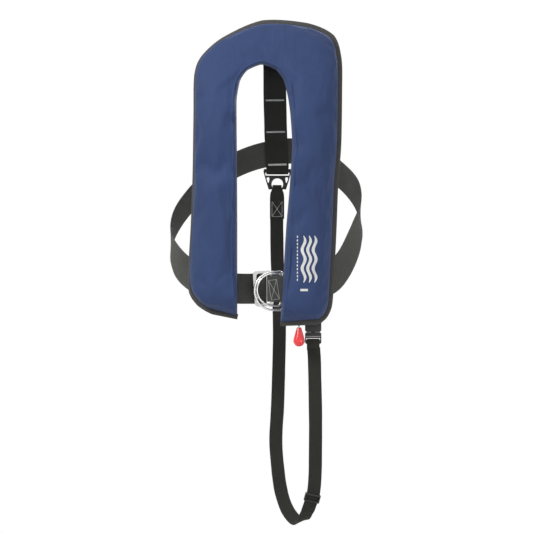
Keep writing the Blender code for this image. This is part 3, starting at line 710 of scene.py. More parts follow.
# Light grey for the plug's ridge is a painted highlight: it stands in for the glint on the black glossy
# plastic and is not a grey part.
PLASTIC_PAINTED_HIGHLIGHT = Moulded("plastic_painted_highlight", colour=srgb(150, 150, 150), roughness=0.2, coat=0.4)
PLASTIC_RED = Moulded("plastic_red", colour=srgb(240, 46, 54), roughness=0.16, coat=0.6, grain=0.00002,
                      wear=0.1)
PLASTIC_ORANGE = Moulded("plastic_orange", colour=srgb(240, 110, 30), roughness=0.35)
PLASTIC_GREEN = Moulded("plastic_green", colour=srgb(30, 150, 70), roughness=0.25, coat=0.3)
STEEL_POLISHED = Steel("steel_polished", colour=srgb(222, 222, 220), roughness=0.18)
STEEL_PLATED = Steel("steel_plated", colour=srgb(170, 172, 172), roughness=0.34)
BLADDER_YELLOW = CoatedNylon("bladder_yellow")
THREAD_GREY = Twine("thread_grey", colour=srgb(150, 150, 148))
THREAD_LIGHT = Twine("thread_light", colour=srgb(214, 214, 212))
THREAD_DARK = Twine("thread_dark", colour=srgb(40, 40, 40))
PRINT_WHITE = ScreenPrint("print_white")
FLOOR_PALE = Moulded("floor_pale", colour=srgb(232, 232, 230), roughness=0.7, grain=0.00001, wear=0.0)


# -------- shapes


@dataclass(frozen=True)
class Station:
    """A place on a strap: its middle, the way across its width, and the way out of its face."""

    point: Vector
    across: Vector
    normal: Vector

    def at(self, across: float, out: float) -> Vector:
        """A point beside the middle, in millimetres across and out of the face."""
        return self.point + self.across * across + self.normal * out


def spline(points: list | tuple, steps: int) -> list[Vector]:
    """A smooth curve through points of any dimension.

    Args:
        points: The points it passes through.
        steps: Steps to each span.

    Returns:
        The points along it.
    """
    known = [Vector(p) for p in points]
    known = [2 * known[0] - known[1], *known, 2 * known[-1] - known[-2]]
    made = []
    for a, b, c, d in zip(known, known[1:], known[2:], known[3:]):
        for k in range(steps):
            t = k / steps
            made.append(0.5 * (2 * b + (c - a) * t + (2 * a - 5 * b + 4 * c - d) * t * t
                               + (3 * b - a - 3 * c + d) * t ** 3))
    return [*made, known[-2]]


def along_path(path: list[Vector], widths: list[Vector]) -> list[Station]:
    """Stations along a path, from a wanted width direction at each point.

    Args:
        path: The middle line.
        widths: The width direction at each point.

    Returns:
        One station for each point.
    """
    made = []
    for i, point in enumerate(path):
        along = (path[min(i + 1, len(path) - 1)] - path[max(i - 1, 0)]).normalized()
        across = (widths[i] - along * widths[i].dot(along)).normalized()
        made.append(Station(point, across, along.cross(across)))
    return made


def add_mesh(name: str, points: list[Vector], faces: list[tuple[int, ...]], finish: Finish,
             flat: list[Pair] | None = None, angle: float = 40.0) -> Object:
    """Make a mesh object from points in millimetres.

    Args:
        name: The piece's name.
        points: Its vertices.
        faces: Its faces.
        finish: Its finish.
        flat: Where each vertex lies on the flat cloth, in millimetres.
        angle: Degrees above which an edge stays sharp.

    Returns:
        The new object.
    """
    mesh = bpy.data.meshes.new(name)
    mesh.from_pydata([p * MM for p in points], [], faces)
    if flat:
        layer = mesh.uv_layers.new(name="strap")
        for loop in mesh.loops:
            u, v = flat[loop.vertex_index]
            layer.data[loop.index].uv = (u * MM, v * MM)
    return dressed(mesh, name, finish, angle)


def settle(made: Object, angle: float) -> Object:
    """Link a mesh object, turn its faces outwards and shade it.

    Args:
        made: The object.
        angle: Degrees above which an edge stays sharp.

    Returns:
        The same object.
    """
    bpy.context.scene.collection.objects.link(made)
    work = bmesh.new()
    work.from_mesh(made.data)
    if not any(edge.is_boundary for edge in work.edges) and work.calc_volume(signed=True) < 0:
        bmesh.ops.reverse_faces(work, faces=work.faces[:])
    work.to_mesh(made.data)
    work.free()
    made.data.shade_smooth()
    made.data.set_sharp_from_angle(angle=math.radians(angle))
    return made


def lofted(name: str, rings: list[list[Vector]], finish: Finish, closed: bool = False,
           flat: list[list[Pair]] | None = None, angle: float = 40.0) -> Object:
    """Make a closed body through rings of equal point counts.

    Args:
        name: The piece's name.
        rings: The rings, in millimetres.
        finish: Its finish.
        closed: Whether the last ring joins the first.
        flat: Where each vertex lies on the flat cloth.
        angle: Degrees above which an edge stays sharp.

    Returns:
        The new object.
    """
    count = len(rings[0])
    faces = []
    for i in range(len(rings) if closed else len(rings) - 1):
        low, high = i * count, (i + 1) % len(rings) * count
        for k in range(count):
            j = (k + 1) % count
            faces.append((low + k, low + j, high + j, high + k))
    if not closed:
        faces.append(tuple(range(count)))
        faces.append(tuple(reversed(range((len(rings) - 1) * count, len(rings) * count))))
    points = [p for ring in rings for p in ring]
    laid = [uv for ring in flat for uv in ring] if flat else None
    return add_mesh(name, points, faces, finish, laid, angle)


def rod(name: str, path: list[Vector], radius: float, finish: Finish, sides: int = 16,
        closed: bool = False) -> Object:
    """Make a round rod along a path.

    Args:
        name: The piece's name.
        path: Its middle line.
        radius: Its radius.
        finish: Its finish.
        sides: Faces round it.
        closed: Whether the path is a loop.

    Returns:
        The new object.
    """
    return lofted(name, rod_rings(path, radius, sides, closed), finish, closed, angle=60)


def rod_rings(path: list[Vector], radius: float, sides: int, closed: bool = False) -> list[list[Vector]]:
    """Rings of a round rod whose section doesn't twist.

    Args:
        path: Its middle line.
        radius: Its radius.
        sides: Faces round it.
        closed: Whether the path is a loop.

    Returns:
        The rings.
    """
    rings, count = [], len(path)
    side = Vector((0.13, 0.91, 0.39))
    for i, point in enumerate(path):
        back = path[i - 1] if closed or i else point
        on = path[(i + 1) % count] if closed or i < count - 1 else point
        along = (on - back).normalized()
        if not closed or i == 0:
            side = (side - along * side.dot(along)).normalized()
        guide = BACK if closed else side
        first = (guide - along * guide.dot(along)).normalized()
        second = along.cross(first)
        rings.append([point + (first * c + second * s) * radius for c, s in circle(0.0, 0.0, 1.0, sides)])
    return rings


def turned(name: str, profile: list[Pair], place: tuple[float, float, float], finish: Finish,
           segments: int = 56, hollow: bool = False) -> Object:
    """Turn a profile of (radius, height) round an upright axis.

    Args:
        name: The piece's name.
        profile: The profile from one end to the other.
        place: Where the axis starts.
        finish: The piece's finish.
        segments: Steps round it.
        hollow: Whether the profile is a closed loop that leaves a hole.

    Returns:
        The new object.
    """
    place = Vector(place)
    inner = profile if hollow else profile[1:-1]
    rings = []
    for radius, height in inner:
        rings.append([place + Vector((c, s, height)) for c, s in circle(0.0, 0.0, radius, segments)])
    return lofted(name, rings, finish, closed=hollow, angle=38)


def dressed(mesh: bpy.types.Mesh, name: str, finish: Finish, angle: float) -> Object:
    """Make an object of a finished mesh.

    Args:
        mesh: The mesh.
        name: The piece's name.
        finish: Its finish.
        angle: Degrees above which an edge stays sharp.

    Returns:
        The new object.
    """
    mesh.materials.clear()
    mesh.materials.append(finish.material())
    return settle(bpy.data.objects.new(name, mesh), angle)


def softened(node: str, name: str, finish: Finish, width: float = 0.5, segments: int = 3) -> Object:
    """Copy a frame node and round its edges.

    Args:
        node: The frame node.
        name: The new piece's name.
        finish: Its finish.
        width: Width of the rounding in millimetres.
        segments: Steps of the rounding.

    Returns:
        The new object.
    """
    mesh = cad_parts[node].data.copy()
    mesh.name = name
    work = bmesh.new()
    work.from_mesh(mesh)
    bmesh.ops.remove_doubles(work, verts=work.verts[:], dist=0.00002)
    bmesh.ops.dissolve_limit(work, angle_limit=math.radians(2), verts=work.verts[:], edges=work.edges[:])
    sharp = [e for e in work.edges if e.is_manifold and e.calc_face_angle(0.0) > math.radians(28)]
    bmesh.ops.bevel(work, geom=sharp, offset=width * MM, segments=segments, affect="EDGES", profile=0.5,
                    clamp_overlap=True)
    bmesh.ops.triangulate(work, faces=work.faces[:])
    work.to_mesh(mesh)
    work.free()
    return dressed(mesh, name, finish, 35)


def outline_solid(name: str, outlines: list[list[Pair]], low: float, high: float, bevel: float,
                  finish: Finish) -> Object:
    """Extrude flat outlines in (x, z) along Y, with rounded edges; later outlines are holes.

    Args:
        name: The piece's name.
        outlines: The outer outline and then the holes.
        low: Y where it starts.
        high: Y where it ends.
        bevel: Radius of its edges.
        finish: Its finish.

    Returns:
        The new object.
    """
    curve = bpy.data.curves.new(name, "CURVE")
    curve.dimensions = "2D"
    curve.fill_mode = "BOTH"
    curve.extrude = ((high - low) / 2 - bevel) * MM
    curve.bevel_depth = bevel * MM
    curve.offset = -bevel * MM
    curve.bevel_resolution = 3
    for outline in outlines:
        line = curve.splines.new("POLY")
        line.points.add(len(outline) - 1)
        for point, (x, z) in zip(line.points, outline):
            point.co = (x * MM, z * MM, 0.0, 1.0)
        line.use_cyclic_u = True
    draft = bpy.data.objects.new(name + "_draft", curve)
    bpy.context.scene.collection.objects.link(draft)
    bpy.context.view_layer.update()
    mesh = bpy.data.meshes.new_from_object(draft.evaluated_get(bpy.context.evaluated_depsgraph_get()))
    bpy.data.objects.remove(draft)
    upright = Matrix.Rotation(math.pi / 2, 4, "X")
    mesh.transform(Matrix.Translation((0.0, (low + high) / 2 * MM, 0.0)) @ upright)
    work = bmesh.new()
    work.from_mesh(mesh)
    bmesh.ops.remove_doubles(work, verts=work.verts[:], dist=0.000005)
    bmesh.ops.recalc_face_normals(work, faces=work.faces[:])
    work.to_mesh(mesh)
    work.free()
    return dressed(mesh, name, finish, 45)


def rounded_box(left: float, right: float, low: float, high: float, radius: float,
                steps: int = 8) -> list[Pair]:
    """The outline of a rectangle with round corners.

    Args:
        left: Lowest x.
        right: Highest x.
        low: Lowest z.
        high: Highest z.
        radius: Corner radius.
        steps: Steps to each corner.

    Returns:
        The outline.
    """
    corners = ((right - radius, high - radius, 0), (left + radius, high - radius, 90),
               (left + radius, low + radius, 180), (right - radius, low + radius, 270))
    turns = [(x, z, math.radians(start + 90 * k / steps))
             for x, z, start in corners for k in range(steps + 1)]
    return [(x + radius * math.cos(turn), z + radius * math.sin(turn)) for x, z, turn in turns]


def circle(x: float, y: float, radius: float, count: int) -> list[Pair]:
    """Points round a circle.

    Args:
        x: Its middle's first coordinate.
        y: Its middle's second coordinate.
        radius: Its radius.
        count: How many points.

    Returns:
        The points.
    """
    turns = [math.tau * k / count for k in range(count)]
    return [(x + radius * math.cos(turn), y + radius * math.sin(turn)) for turn in turns]


def grid_faces(rows: int, columns: int) -> list[tuple[int, ...]]:
    """Faces of a grid of points that was filled row by row.

    Args:
        rows: Rows of points.
        columns: Points in each row.

    Returns:
        The faces.
    """
    return [(i * columns + k, i * columns + k + 1, (i + 1) * columns + k + 1, (i + 1) * columns + k)
            for i in range(rows - 1) for k in range(columns - 1)]


def wear(made: Object, body: str, slot: str, *nodes: str) -> Object:
    """Put a piece on its body and let it stand for frame nodes.

    Args:
        made: The piece.
        body: The body it moves with.
        slot: The record's material slot; not used.
        nodes: Frame nodes that it stands for.

    Returns:
        The same piece.
    """
    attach(made, body)
    if nodes:
        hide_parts(*nodes)
    LOG.info("%s: %d vertices on %s", made.name, len(made.data.vertices), body)
    return made


def ripple(point: Vector, size: float, seed: float = 0.0) -> float:
    """Smooth noise from -1 to 1 at a point in millimetres, with features of the given size."""
    return noise.noise(point / size + Vector((seed, 7.3 * seed, -3.1 * seed)))


# -------- sewing


@dataclass
class Thread:
    """Short stitches of round thread that lie on a face and dip into it at both ends."""

    radius: float = 0.34
    length: float = 2.7
    pitch: float = 3.5
    finish: Finish = field(default_factory=lambda: THREAD_GREY)
    sides: int = 6

    def stitch_rings(self, start: Vector, end: Vector, normal: Vector) -> list[list[Vector]]:
        """Rings of one stitch.

        Args:
            start: Where the thread comes up.
            end: Where it goes down.
            normal: The way out of the cloth.

        Returns:
            The rings.
        """
        side = (end - start).normalized().cross(normal).normalized()
        rings = []
        for t in (0.0, 0.12, 0.35, 0.65, 0.88, 1.0):
            lift = math.sin(math.pi * t) ** 0.6 if 0 < t < 1 else 0.0
            middle = start.lerp(end, t) + normal * self.radius * (1.25 * lift - 0.55)
            radius = self.radius * (0.55 + 0.45 * lift)
            rings.append([middle + (normal * c + side * s) * radius
                          for c, s in circle(0.0, 0.0, 1.0, self.sides)])
        return rings

    def sew(self, name: str, stitches: list[Stitch]) -> Object:
        """Make one object of many stitches.

        Args:
            name: The piece's name.
            stitches: Start, end and outward normal of each.

        Returns:
            The new object.
        """
        points, faces = [], []
        for start, end, normal in stitches:
            rings = self.stitch_rings(start, end, normal)
            base = len(points)
            points += [p for ring in rings for p in ring]
            n = self.sides
            for i in range(len(rings) - 1):
                faces += [(base + i * n + k, base + i * n + (k + 1) % n, base + (i + 1) * n + (k + 1) % n,
                           base + (i + 1) * n + k) for k in range(n)]
            faces.append(tuple(base + k for k in reversed(range(n))))
            faces.append(tuple(base + (len(rings) - 1) * n + k for k in range(n)))
        return add_mesh(name, points, faces, self.finish, angle=70)

    def sew_on(self, name: str, stitches: list[Stitch], *nodes: str) -> None:
        """Sew stitches to the jacket.

        Args:
            name: The piece's name.
            stitches: Start, end and outward normal of each.
            nodes: Frame nodes that they stand for.
        """
        wear(self.sew(name, stitches), JACKET, "grey_thread", *nodes)

    def along(self, path: list[Vector], normals: list[Vector]) -> list[Stitch]:
        """Stitches at an even pitch along a path.

        Args:
            path: The seam's line, on the cloth.
            normals: The way out of the cloth at each point.

        Returns:
            The stitches.
        """
        lengths = [0.0]
        for a, b in zip(path, path[1:]):
            lengths.append(lengths[-1] + (b - a).length)
        count = max(1, round(lengths[-1] / self.pitch))
        pitch = lengths[-1] / count
        cover = min(self.length / self.pitch, 0.95)
        made = []

        def spot(distance: float) -> tuple[Vector, Vector]:
            """The point and the normal at a distance along the path.

            Args:
                distance: How far along.

            Returns:
                The point and the way out of the cloth.
            """
            i = max(0, min(int(np.searchsorted(lengths, distance)) - 1, len(path) - 2))
            t = (distance - lengths[i]) / max(lengths[i + 1] - lengths[i], 1e-9)
            return path[i].lerp(path[i + 1], t), normals[i].lerp(normals[i + 1], t).normalized()

        for k in range(count):
            start, normal = spot(k * pitch)
            end, _ = spot((k + cover) * pitch)
            made.append((start, end, normal))
        return made

    def box_cross(self, corners: list[Vector], normal: Vector) -> list[Stitch]:
        """A sewn box with a cross in it.

        Args:
            corners: The four corners in order.
            normal: The way out of the cloth.

        Returns:
            The stitches.
        """
        made = []
        lines = [(corners[i], corners[(i + 1) % 4]) for i in range(4)]
        lines += [(corners[0], corners[2]), (corners[1], corners[3])]
        for a, b in lines:
            made += self.along([a, b], [normal, normal])
        return made

    def bar(self, middle: Vector, along: Vector, across: Vector, length: float, height: float,
            normal: Vector) -> list[Stitch]:
        """A dense zigzag bar.

        Args:
            middle: Its middle.
            along: The way along the bar.
            across: The way over it.
            length: Its length.
            height: Its height.
            normal: The way out of the cloth.

        Returns:
            The stitches.
        """
        count = round(length / (self.radius * 1.7))
        made = []
        for k in range(count + 1):
            spot = middle + along * (k / count - 0.5) * length
            lean = along * self.radius * 0.8
            uneven = 0.92 + 0.08 * math.sin(k * 2.4)
            reach = across * height / 2 * uneven + lean
            made.append((spot - reach, spot + reach, normal))
        return made


# -------- webbing


@dataclass
class Webbing:
    """A woven strap with rounded edges, slightly uneven in width and lie."""

    name: str
    width: float
    thickness: float
    finish: Finish
    waver: float = 0.35
    slack: float = 0.4
    crown: float = 0.12

    def section(self) -> list[Pair]:
        """The section as (across, out), once round.

        Returns:
            Its points.
        """
        edge = self.thickness / 2
        half = self.width / 2 - edge
        top = [(-half + 2 * half * k / 10, edge + self.crown * (1 - (2 * k / 10 - 1) ** 2))
               for k in range(11)]
        turn = [(edge * math.sin(math.pi * k / 5), edge * math.cos(math.pi * k / 5)) for k in range(1, 5)]
        right = [(half + a, b) for a, b in turn]
        bottom = [(half - 2 * half * k / 10, -edge) for k in range(11)]
        left = [(-half - a, -b) for a, b in turn]
        return top + right + bottom + left

    def build(self, stations: list[Station], widths: list[float] | None = None,
              seed: float = 1.0) -> Object:
        """Sweep the section along the stations.

        Args:
            stations: Where the strap runs.
            widths: Share of the full width at each station.
            seed: Seed of the unevenness.

        Returns:
            The new object.
        """
        section = self.section()
        rings, flat, run = [], [], 0.0
        for i, station in enumerate(stations):
            if i:
                run += (station.point - stations[i - 1].point).length
            share = widths[i] if widths else 1.0
            share *= 1 + self.waver * ripple(station.point, 23, seed) / self.width
            sway = self.waver * 0.5 * ripple(station.point, 60, seed + 4)
            lie = self.slack * ripple(station.point, 38, seed + 9)
            ring = []
            for across, out in section:
                curl = self.slack * 0.5 * ripple(station.point + station.across * across, 17, seed + 2)
                ring.append(station.at(across * share + sway, out + lie + curl))
            rings.append(ring)
            flat.append([(across + self.width, run) for across, _ in section])
        return lofted(self.name, rings, self.finish, flat=flat, angle=70)

    def build_level(self, path: list[Vector], widths: list[float] | None = None,
                    seed: float = 1.0) -> Object:
        """Sweep the section along a path, its width running across the jacket.

        Args:
            path: The strap's middle line.
            widths: Share of the full width at each point.
            seed: Seed of the unevenness.

        Returns:
            The new object.
        """
        return self.build(along_path(path, [RIGHT] * len(path)), widths, seed)


# -------- cover


@dataclass(frozen=True)
class Crease:
    """A soft fold that runs from one place to another on the cover."""

    start: Pair
    end: Pair
    width: float
    height: float

    def lift(self, spot: Vector) -> float:
        """How far the cloth rises at a place.

        Args:
            spot: The place as (x, z).

        Returns:
            The rise in millimetres.
        """
        start, along = Vector(self.start), Vector(self.end) - Vector(self.start)
        t = max(0.0, min((spot - start).dot(along) / along.length_squared, 1.0))
        away = (spot - start - along * t).length / self.width
        return self.height * math.exp(-away * away) * math.sin(math.pi * (0.12 + 0.76 * t))


@dataclass
class Cover:
    """The horseshoe cover: two lobes joined by the collar, folded at the neck and taped outside."""

    depth: float = 38.0
    collar_depth: float = 30.0
    seam_depth: float = 4.4
    tape_width: float = 9.0
    lap: float = 0.78
    gap: float = 0.3
    curl: float = 0.0021
    cloth: float = 1.1
    steps: int = 7
    across: int = 34
    stations: tuple = (
        (-50, -422, -95, -413), (-50, -400, -116, -399), (-50, -375, -129.5, -379), (-50, -337, -131.5, -348),
        (-50, -258, -127, -266), (-50.5, -175, -124, -184), (-51, -101, -122.5, -85), (-51, -57, -121.5, -18),
        (-45.5, -27, -110, 13.5), (-34, -10, -75, 45), (-10, 0, -9, 74), (14, -9.5, 67, 69.5),
        (27, -27, 110.5, 49), (34, -55, 123, 9), (38, -85, 123.5, -52), (41, -134, 122, -134),
        (37, -200, 117, -200), (31, -269, 114, -278), (27, -334, 110, -357), (25, -377, 107, -398),
        (22.5, -408, 99, -418), (21, -433, 85, -431))
    creases: tuple = (
        Crease((-54, 7), (-10, 42), 7.2, 1.87), Crease((8, 10), (-14, 40), 6.4, 1.53),
        Crease((114, 22), (62, 38), 5.6, 2.55), Crease((108, -3), (60, 13), 6.4, 2.38),
        Crease((28, -2), (54, -26), 4.8, 2.38), Crease((42, -16), (86, -40), 7.2, 1.7),
        Crease((-52, -14), (-92, -44), 6.4, 2.21), Crease((-119, -64), (-54, -66), 4.8, 1.36),
        Crease((-74, -76), (-84, -168), 8.8, 2.04), Crease((-78, -200), (-66, -306), 9.6, 2.38),
        Crease((-106, -176), (-98, -262), 8, 1.87), Crease((62, -76), (116, -62), 6.4, 1.36),
        Crease((66, -130), (100, -168), 8, 1.53), Crease((50, -206), (88, -246), 8, 1.36),
        Crease((-116, -300), (-78, -330), 7.2, 1.53), Crease((44, -392), (72, -420), 5.6, 1.53),
        Crease((96, -300), (84, -392), 8, 1.53), Crease((-64, -352), (-104, -392), 7.2, 1.36))
    tape_seen: tuple = ((0, 9), (1.6, 9), (3.0, 3.8), (8, 3.2), (9, 4.2), (10, 8.2), (11, 9), (21, 9))
    skin: Object | None = None

    def tape_face(self, t: float) -> Pair:
        """How much of the tape's width faces the front at t, and how far forward its inner edge then is."""
        seen = float(np.interp(t * (len(self.stations) - 1), *zip(*self.tape_seen)))
        return seen, math.sqrt(max(self.tape_width ** 2 - seen ** 2, 0.0))

    def back_depth(self, x: float, z: float) -> float:
        """Y of the back panel's front face.

        Args:
            x: Where, from left to right.
            z: Where, in height.

        Returns:
            Y in millimetres.
        """
        curled = self.curl * max(z + 120, 0) ** 2 + (0.0016 if x < -5 else 0.0012) * (x + 5) ** 2
        low = min(max((-375 - z) / 50, 0), 1)
        return curled - 3.4 * low * low * (3 - 2 * low)

    def lines(self) -> tuple[list[Vector], list[Vector]]:
        """The cover's two edges.

        Returns:
            The inner and the outer edge as lists of (x, z).
        """
        samples = spline(self.stations, self.steps)
        inner, outer = [Vector(s[:2]) for s in samples], [Vector(s[2:]) for s in samples]
        for i in range(len(samples)):
            first = min(i // self.steps, len(self.stations) - 2)
            share = i / self.steps - first
            straight = Vector(self.stations[first]).lerp(Vector(self.stations[first + 1]), share)
            inner[i] = inner[i].lerp(Vector(straight[:2]), 0.55)
            outer[i] = outer[i].lerp(Vector(straight[2:]), 0.2)
        return inner, outer

    @staticmethod
    def inset(line: list[Vector], distance: list[float]) -> list[Vector]:
        """Move the outer edge inwards.

        Args:
            line: The edge as (x, z).
            distance: How far, at each point.

        Returns:
            The moved line.
        """
        made = []
        for i, point in enumerate(line):
            along = (line[min(i + 1, len(line) - 1)] - line[max(i - 1, 0)]).normalized()
            made.append(point + Vector((along.y, -along.x)) * distance[i])
        return made

    def panel_lines(self) -> tuple[list[Vector], list[Vector]]:
        """Edges of the cloth, which end inside the tape.

        Returns:
            The inner and the outer edge as lists of (x, z).
        """
        inner, outer = self.lines()
        last = len(outer) - 1
        outer = self.inset(outer, [self.tape_face(i / last)[0] * self.lap for i in range(last + 1)])
        for end, other in ((0, self.steps), (-1, -1 - self.steps)):
            for line in (inner, outer):
                line[end] = line[end] + (line[other] - line[end]).normalized() * (self.tape_width - 2.5)
                for k in range(1, self.steps):
                    i = k if end == 0 else -1 - k
                    line[i] = line[end].lerp(line[other], k / self.steps)
        return inner, outer

    def seam_at(self, t: float) -> float:
        """How far forward the cloth's outer edge lies at t, under the tape."""
        return self.seam_depth + self.lap * self.tape_face(t)[1]

    def depth_at(self, t: float) -> float:
        """Depth of the filled lobe.

        Args:
            t: From 0 at one lobe's bottom to 1 at the other's.

        Returns:
            The depth in millimetres.
        """
        near = min(min(t, 1 - t) * 10.5, 1.0)
        fill = math.sin(near * math.pi / 2) ** 0.7
        collar = max(0.0, min((1 - abs(2 * t - 1) - 0.55) / 0.3, 1.0))
        depth = self.depth + (self.collar_depth - self.depth) * collar
        return self.seam_depth + (depth - self.seam_depth) * fill

    def front(self, a: float, t: float) -> float:
        """Height of the front cloth: a round fold inside, a flat seam outside.

        Args:
            a: Share of the width, from the inner edge.
            t: From 0 at one lobe's bottom to 1 at the other's.

        Returns:
            The height in millimetres.
        """
        depth, seam = self.depth_at(t), self.seam_at(t)
        depth = max(depth, seam + 1.5)
        fold, shoulder = 0.07, 0.8
        if a < fold:
            return depth * math.sqrt(max(1 - ((fold - a) / fold) ** 2, 0.0))
        crown = 1 - 0.05 * ((a - 0.46) / 0.34) ** 2
        if a < shoulder:
            return depth * crown
        out = (a - shoulder) / (1 - shoulder)
        return seam + (depth * 0.95 - seam) * math.sqrt(max(1 - out ** 2.4, 0.0))

    def place(self, inner: Vector, outer: Vector, a: float, forward: float) -> Vector:
        """A point at share a across and a distance forward of the back panel."""
        spot = inner.lerp(outer, a)
        return Vector((spot.x, self.back_depth(spot.x, spot.y) - forward, spot.y))

    def build(self) -> None:
        """Build the front cloth, the back cloth and the tape, and put them on the jacket."""
        self.build_front()
        self.build_back()
        self.build_tape()

    def build_front(self) -> None:
        """The front cloth: modelled folds, then pressed out and puckered."""
        inner, outer = self.panel_lines()
        count, n = len(inner), self.across
        points, flat, held = [], [], []
        for i, (a, b) in enumerate(zip(inner, outer)):
            t = i / (count - 1)
            for k in range(n + 1):
                share = 0.6 * (0.5 - 0.5 * math.cos(math.pi * k / n)) + 0.4 * k / n
                height = self.front(share, t)
                spot = a.lerp(b, share)
                rise = sum(c.lift(spot) for c in self.creases) * min(1.0, (1 - share) * 6, share * 8)
                pucker = math.exp(-((1 - share) / 0.09) ** 2) * ripple(Vector((spot.x, spot.y, 3)), 9) * 1.6
                wave = 0.9 * ripple(Vector((spot.x, spot.y, 0)), 48, 2)
                wave += 0.35 * ripple(Vector((spot.x, spot.y, 9)), 19, 5)
                extra = (rise + pucker + wave * min(1.0, share * 6)) if 0 < k < n else 0.0
                points.append(self.place(a, b, share, max(height + extra, 0.0)))
                flat.append((share * (b - a).length + 60, i * 7.2))
                if k <= 1 or k >= n - 1 or i in (0, 1, count - 2, count - 1):
                    held.append(len(points) - 1)
        cloth = add_mesh("cover_front", points, grid_faces(count, n + 1), COVER_BLUE, flat, angle=180)
        self.face_forward(cloth)
        ClothPress().run(cloth, held)
        self.thicken(cloth, 1, self.cloth)
        self.skin = wear(cloth, JACKET, "cover_fabric", "cover_front_left", "cover_front_collar",
                         "cover_front_right")

    @staticmethod
    def face_forward(cloth: Object) -> None:
        """Turn an open cloth's faces towards the front.

        Args:
            cloth: The cloth.
        """
        lean = sum(p.normal.y * p.area for p in cloth.data.polygons)
        if lean > 0:
            cloth.data.flip_normals()

    @staticmethod
    def thicken(cloth: Object, levels: int, thickness: float) -> None:
        """Smooth an open cloth and give it thickness.

        Args:
            cloth: The cloth.
            levels: Subdivisions.
            thickness: Thickness in millimetres, inwards.
        """
        smooth = cloth.modifiers.new("smooth", "SUBSURF")
        smooth.levels = smooth.render_levels = levels
        solid = cloth.modifiers.new("thickness", "SOLIDIFY")
        solid.thickness = thickness * MM
        solid.offset = -1
        bake(cloth)

    def build_back(self) -> None:
        """The back cloth, which lies flat with slow waves."""
        inner, outer = self.panel_lines()
        n = 18
        points, flat = [], []
        for i, (a, b) in enumerate(zip(inner, outer)):
            for k in range(n + 1):
                share = k / n
                spot = a.lerp(b, share)
                wave = (0.7 * ripple(Vector((spot.x, spot.y, 40)), 42, 7) + 0.7) * math.sin(math.pi * share)
                points.append(self.place(a, b, share, -self.gap - wave))
                flat.append((share * (b - a).length + 60, i * 7.2))
        cloth = add_mesh("cover_back", points, grid_faces(len(inner), n + 1), COVER_BLUE, flat, angle=180)
        self.face_forward(cloth)
        self.thicken(cloth, 1, self.cloth)
        wear(cloth, JACKET, "cover_fabric", "cover_back_panel")

    def tape_line(self) -> list[Vector]:
        """The tape's outer line: round the outer edge and across both lobe bottoms.

        Returns:
            Its points as (x, z).
        """
        inner, outer = self.lines()
        left = [inner[0].lerp(outer[0], t) for t in (0, 0.2, 0.4, 0.6, 0.8, 0.93)]
        right = [outer[-1].lerp(inner[-1], t) for t in (0.07, 0.2, 0.4, 0.6, 0.8, 1)]
        return left + outer[2:-2] + right

    def build_tape(self) -> None:
        """The edge tape, folded over the edge and sewn near its inner side."""
        line = self.tape_line()
        last = len(line) - 1
        faces = [self.tape_face(i / last) for i in range(last + 1)]
        edge = self.inset(line, [self.tape_width] * (last + 1))
        half = [(0.0, 4.7), (0.1, 5.25), (0.3, 5.45), (0.55, 5.3), (0.78, 4.9), (0.91, 4.2), (0.985, 2.8)]
        rings, flat, run, seams = [], [], 0.0, ([], [])
        for i, (a, b) in enumerate(zip(edge, line)):
            run += (b - line[i - 1]).length if i else 0.0
            seen, rise = faces[i]
            here = Vector((b.x, b.y, 0))
            swell = 0.35 * ripple(here, 11, 6) + 0.3 * ripple(here, 34, 8)
            width = seen / self.tape_width * (1 + 0.05 * ripple(here, 26, 3))
            ring = []
            for share, f in half:
                ring.append(self.place(a, b, 1 - (1 - share) * width, f + (rise + swell) * (1 - share)))
            ring.append(self.place(a, b, 1.0, 1.3))
            for share, f in reversed(half):
                ring.append(self.place(a, b, share, 2.6 - f - 0.6 * swell * (1 - share)))
            rings.append(ring)
            flat.append([(k * 1.7, run) for k in range(len(ring))])
            seams[0].append(self.place(a, b, 1 - 0.76 * width, 5.45 + rise * 0.76))
            seams[1].append(self.place(a, b, 0.24, -2.75))
        tape = lofted("edge_tape", rings, TAPE_CHARCOAL, flat=flat, angle=60)
        wear(tape, JACKET, "binding_tape", "edge_binding")
        thread = Thread(radius=0.3, length=2.4, pitch=3.4, finish=THREAD_DARK)
        for side, seam, way in (("front", seams[0], FRONT), ("back", seams[1], BACK)):
            thread.sew_on("tape_stitches_" + side, thread.along(seam, [way] * len(seam)))


def bake(made: Object) -> None:
    """Apply every modifier of a mesh object.

    Args:
        made: The object.
    """
    bpy.context.view_layer.update()
    mesh = bpy.data.meshes.new_from_object(made.evaluated_get(bpy.context.evaluated_depsgraph_get()))
    made.modifiers.clear()
    made.data = mesh
    made.data.shade_smooth()


